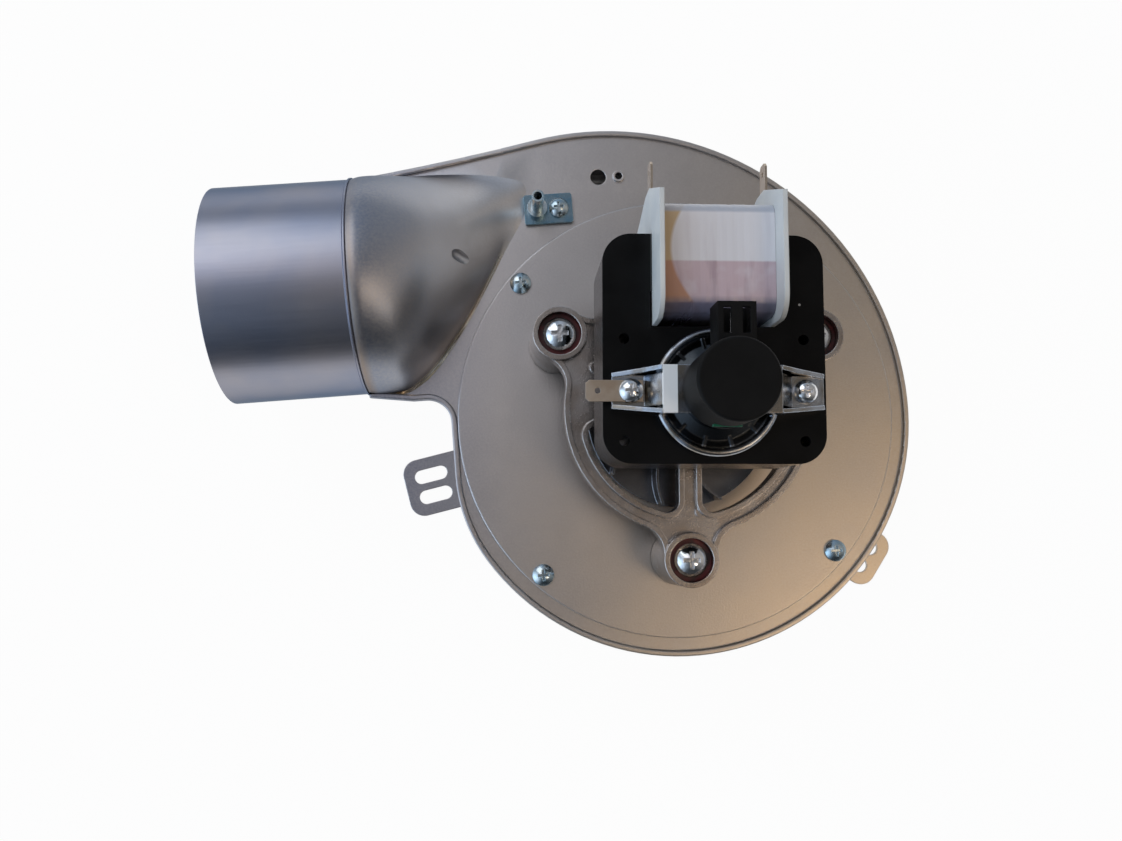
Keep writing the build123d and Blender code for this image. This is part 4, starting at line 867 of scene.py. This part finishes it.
@dataclass
class FrontShell:
    """The pressed front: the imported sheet, with the neck drawn again as one smooth skin.

    The neck runs from its round lip to the nose that sinks into the flat front. Lengths are in
    millimetres from the lip, the motor axis and the seam.
    """

    lip: float = -113.9
    seam: float = 42.35
    wall: float = 0.6
    tail: float = 0.35
    flat: float = 43.15
    neck_floor: float = 44.9
    neck_end: float = -50.0
    fillet: float = 2.6
    fillet_from: Span = (6.0, 22.0)
    fillet_steepness: float = 3.0
    rows: int = 150
    columns: int = 90
    crowding: float = 1.6
    sharp: float = 30.0
    weld: float = 0.001
    sections: tuple[Section, ...] = (
        Section(0.0, 17.50, 97.70, 40.1, 0.0),
        Section(2.4, 16.80, 98.40, 40.8, 0.0),
        Section(6.0, 16.75, 98.60, 40.2, 0.0),
        Section(12.0, 17.10, 98.90, 38.3, 0.05),
        Section(21.9, 23.20, 99.60, 33.6, 0.3),
        Section(35.9, 40.10, 100.0, 21.4, 0.7),
        Section(47.9, 59.10, 100.2, 9.9, 0.95),
        Section(56.9, 74.10, 99.8, 3.2, 1.0),
        Section(66.0, 86.00, 99.0, 0.2, 1.0),
    )
    rounding: int = 7

    def sheet(self) -> bpy.types.Object:
        """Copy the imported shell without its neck: no face that reaches over the seam bead there.

        Returns:
            The sheet, merged and shaded smooth up to sharp edges.
        """
        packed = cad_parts["front_shell"].data
        points = np.empty(len(packed.vertices) * 3)
        packed.vertices.foreach_get("co", points)
        points = points.reshape(-1, 3)
        corners = np.empty(len(packed.loops), dtype=int)
        packed.loops.foreach_get("vertex_index", corners)
        faces = corners.reshape(-1, 3)
        high = points[:, 2] > self.neck_floor * MM
        neck = (high & (points[:, 0] < self.neck_end * MM))[faces].any(axis=1)
        mesh = bpy.data.meshes.new("front_sheet")
        mesh.from_pydata(points, [], faces[~neck])
        melted = bmesh.new()
        melted.from_mesh(mesh)
        bmesh.ops.remove_doubles(melted, verts=melted.verts, dist=self.weld * MM)
        loose = [point for point in melted.verts if not point.link_faces]
        bmesh.ops.delete(melted, geom=loose, context="VERTS")
        melted.to_mesh(mesh)
        melted.free()
        mesh.shade_smooth()
        mesh.set_sharp_from_angle(angle=math.radians(self.sharp))
        mesh.materials.append(material_of(SHEET))
        return placed("front_sheet", mesh)

    def neck(self) -> bpy.types.Object:
        """Make the neck.

        Across the neck, the low side is a quarter oval that flares out at its foot by
        fillet * exp(-steepness * height / fillet). The high side mixes a quarter oval with a soft
        run-out, whose height is tail * w + (1 - tail) * w ** 2 for w the cosine from crown to edge.

        Returns:
            The skin, with a thin wall.
        """
        known = [np.array([getattr(section, name) for section in self.sections])
                 for name in ("at", "crease", "crest", "crown", "soft")]
        at = np.linspace(0.0, self.sections[-1].at, self.rows)
        smooth = [self._rounded(flowing(at, known[0], values))[:, None] for values in known[1:]]
        crease, crest, crown, soft = smooth
        middle, half = (crest + crease) / 2.0, (crest - crease) / 2.0
        turn = np.linspace(0.0, np.pi / 2.0, self.columns)[None, :]
        low_turn = turn ** self.crowding / (np.pi / 2.0) ** (self.crowding - 1.0)
        low_y, low_z = -half * np.cos(low_turn), crown * np.sin(low_turn)
        start, end = self.fillet_from
        spread = self.fillet * np.clip((at - start) / (end - start), 0.0, 1.0)[:, None]
        over = np.maximum(low_z - (self.flat - self.seam), 0.0)
        low_y = low_y - spread * np.exp(-self.fillet_steepness * over / self.fillet)
        wave = np.cos(turn[:, 1:])
        fade = self.tail * wave + (1.0 - self.tail) * wave ** 2
        high_y = half * ((1.0 - soft) * np.sin(turn[:, 1:]) + soft * turn[:, 1:] / (np.pi / 2.0))
        high_z = crown * ((1.0 - soft) * wave + soft * fade)
        y = middle + np.concatenate([low_y, high_y], axis=1)
        z = self.seam + np.concatenate([low_z, high_z], axis=1)
        x = np.broadcast_to(self.lip + at[:, None], y.shape)
        return skin("neck_skin", np.stack([x, y, z], axis=-1) * MM, NECK, self.wall)

    def _rounded(self, line: np.ndarray) -> np.ndarray:
        """Return a line without kinks: each value a mean of its neighbours, weighted as a raised cosine."""
        weight = np.hanning(2 * self.rounding + 1)
        padded = np.pad(line, self.rounding, mode="reflect", reflect_type="odd")
        return np.convolve(padded, weight / weight.sum(), mode="valid")


@dataclass
class Casing:
    """The pressed scroll casing, its plates, seals, screws and pressure tap."""

    def build(self) -> None:
        """Lay the front shell's sheet and neck, and dress the rest of the casing."""
        shell = FrontShell()
        sheet, neck = shell.sheet(), shell.neck()
        for piece in (sheet, neck):
            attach(piece, "fixed_parts")
            LOG.info("made %s", piece.name)
        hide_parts("front_shell")
        dress({
            "back_shell": SHEET, "mounting_plate": SHEET, "motor_plate": PLATE,
            "outlet_spigot": TUBE, "plate_gasket": SEAL, "tap_gasket": SEAL, "plate_screws": ZINC,
            "tap_plate": TAP_ZINC, "tap_nozzle": ZINC, "tap_screw": ZINC,
        })


@dataclass
class RubberMounts:
    """The spider bracket on its three rubber mounts."""

    def build(self) -> None:
        """Dress the casting, the grommets and their screws."""
        dress({
            "spider_bracket": CASTING, "grommets": RUBBER, "mount_posts": ZINC, "spacer_sleeves": ZINC,
            "dome_screws": BRIGHT,
        })


@dataclass(frozen=True)
class Fold:
    """One set of folds in the tape, which run along it and lean to and fro round it."""

    weight: float
    pitch: float
    lean: float
    turns: float
    start: float

    def height(self, x: np.ndarray, around: np.ndarray) -> np.ndarray:
        """Return the folds' height for each place along the tape and each angle round it."""
        return self.weight * np.sin(x * self.pitch + self.lean * np.sin(around * self.turns + self.start))


@dataclass
class Motor:
    """Stator, coil, brackets and screws of the motor.

    The coil's middle and half sizes are its y and z in the motor's own frame, in millimetres, and beyond
    is a distance past both half sizes.
    """

    coil_half: float = 17.38
    coil_middle: Span = (40.45, 100.6)
    coil_size: Span = (17.25, 24.65)
    coil_corner: float = 5.0
    beyond: float = 40.0
    tape_wall: float = 0.12
    wrinkle: float = 0.08
    fold_share: float = 0.4
    taper: float = 2.0
    folds: tuple[Fold, ...] = (
        Fold(1.0, 0.9, 1.5, 3.0, 0.0),
        Fold(0.7, 2.3, 2.0, 2.0, 1.0),
        Fold(0.3, 6.1, 1.0, 5.0, 0.0),
    )
    rows: int = 140
    columns: int = 240

    def build(self) -> None:
        """Dress the motor and lay the tape round its coil."""
        dress({
            "stator_stack": LACQUER, "coil_core": CORE, "shading_rings": COPPER, "bobbin": NYLON,
            "coil_winding": COPPER, "coil_terminals": TINNED, "front_bearing_bracket": BRACKET,
            "motor_screws": BRIGHT, "earth_tab": TINNED, "rear_bearing": STEEL, "front_bearing": STEEL,
        })
        tape = self.tape()
        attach(tape, "fixed_parts")
        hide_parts("coil_tape")
        LOG.info("made %s", tape.name)

    def tape(self) -> bpy.types.Object:
        """Make the tape round the coil.

        The section is a rounded rectangle: each point goes out from the corner's centre by the corner's
        radius, less the wrinkle, plus the sum of the folds, which fades out at the coil's ends.

        Returns:
            The tape, with a thin wall.
        """
        around = np.linspace(0.0, 2.0 * np.pi, self.columns, endpoint=False)
        along = np.linspace(-self.coil_half, self.coil_half, self.rows)
        reach_y, reach_z = (size - self.coil_corner for size in self.coil_size)
        corner_y = np.clip(np.cos(around) * self.beyond, -reach_y, reach_y)
        corner_z = np.clip(np.sin(around) * self.beyond, -reach_z, reach_z)
        out_y, out_z = np.cos(around), np.sin(around)
        flat_y = np.where(np.abs(corner_y) < reach_y, 0.0, out_y)
        flat_z = np.where(np.abs(corner_z) < reach_z, 0.0, out_z)
        norm = np.hypot(flat_y, flat_z)
        flat_y, flat_z = flat_y / norm, flat_z / norm
        x = along[:, None]
        folds = sum(fold.height(x, around) for fold in self.folds)
        taper = np.clip((self.coil_half - np.abs(x)) / self.taper, 0.0, 1.0)
        radius = self.coil_corner - self.wrinkle + self.wrinkle * self.fold_share * folds * taper
        y = self.coil_middle[0] + corner_y[None, :] + flat_y[None, :] * radius
        z = self.coil_middle[1] + corner_z[None, :] + flat_z[None, :] * radius
        grid = np.stack([np.broadcast_to(x, y.shape), y, z], axis=-1)
        return skin("tape_wrap", motor_turned(grid), TAPE, self.tape_wall, closed=True)


@dataclass
class SpeedSensor:
    """The black sensor cap with its board, base and pins."""

    def build(self) -> None:
        """Dress the sensor's pieces."""
        dress({"sensor_base": BLACK, "sensor_cap": BLACK, "sensor_board": BOARD, "connector_pins": BRIGHT,
               "sensor_magnet": MAGNET})


@dataclass
class Rotor:
    """Everything that turns on the shaft."""

    def build(self) -> None:
        """Dress the shaft, the wheels and the rotor."""
        dress({
            "shaft": STEEL, "rotor_core": CORE, "rotor_end_rings": WHEEL, "impeller": WHEEL,
            "impeller_hub": STEEL, "impeller_nut": ZINC, "cooling_fan": SHADED_BLADES,
        })


def corners(box: tuple[Vector, Vector]) -> list[list[float]]:
    """Return a box's two corners as plain lists of numbers."""
    return [[round(value, 6) for value in corner] for corner in box]


def main() -> None:
    """Build the studio and every sub-assembly."""
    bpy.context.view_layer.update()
    for part in (Studio(), Casing(), RubberMounts(), Motor(), SpeedSensor(), Rotor()):
        part.build()
        LOG.info("built %s", type(part).__name__)


if __name__ == "__main__":
    main()
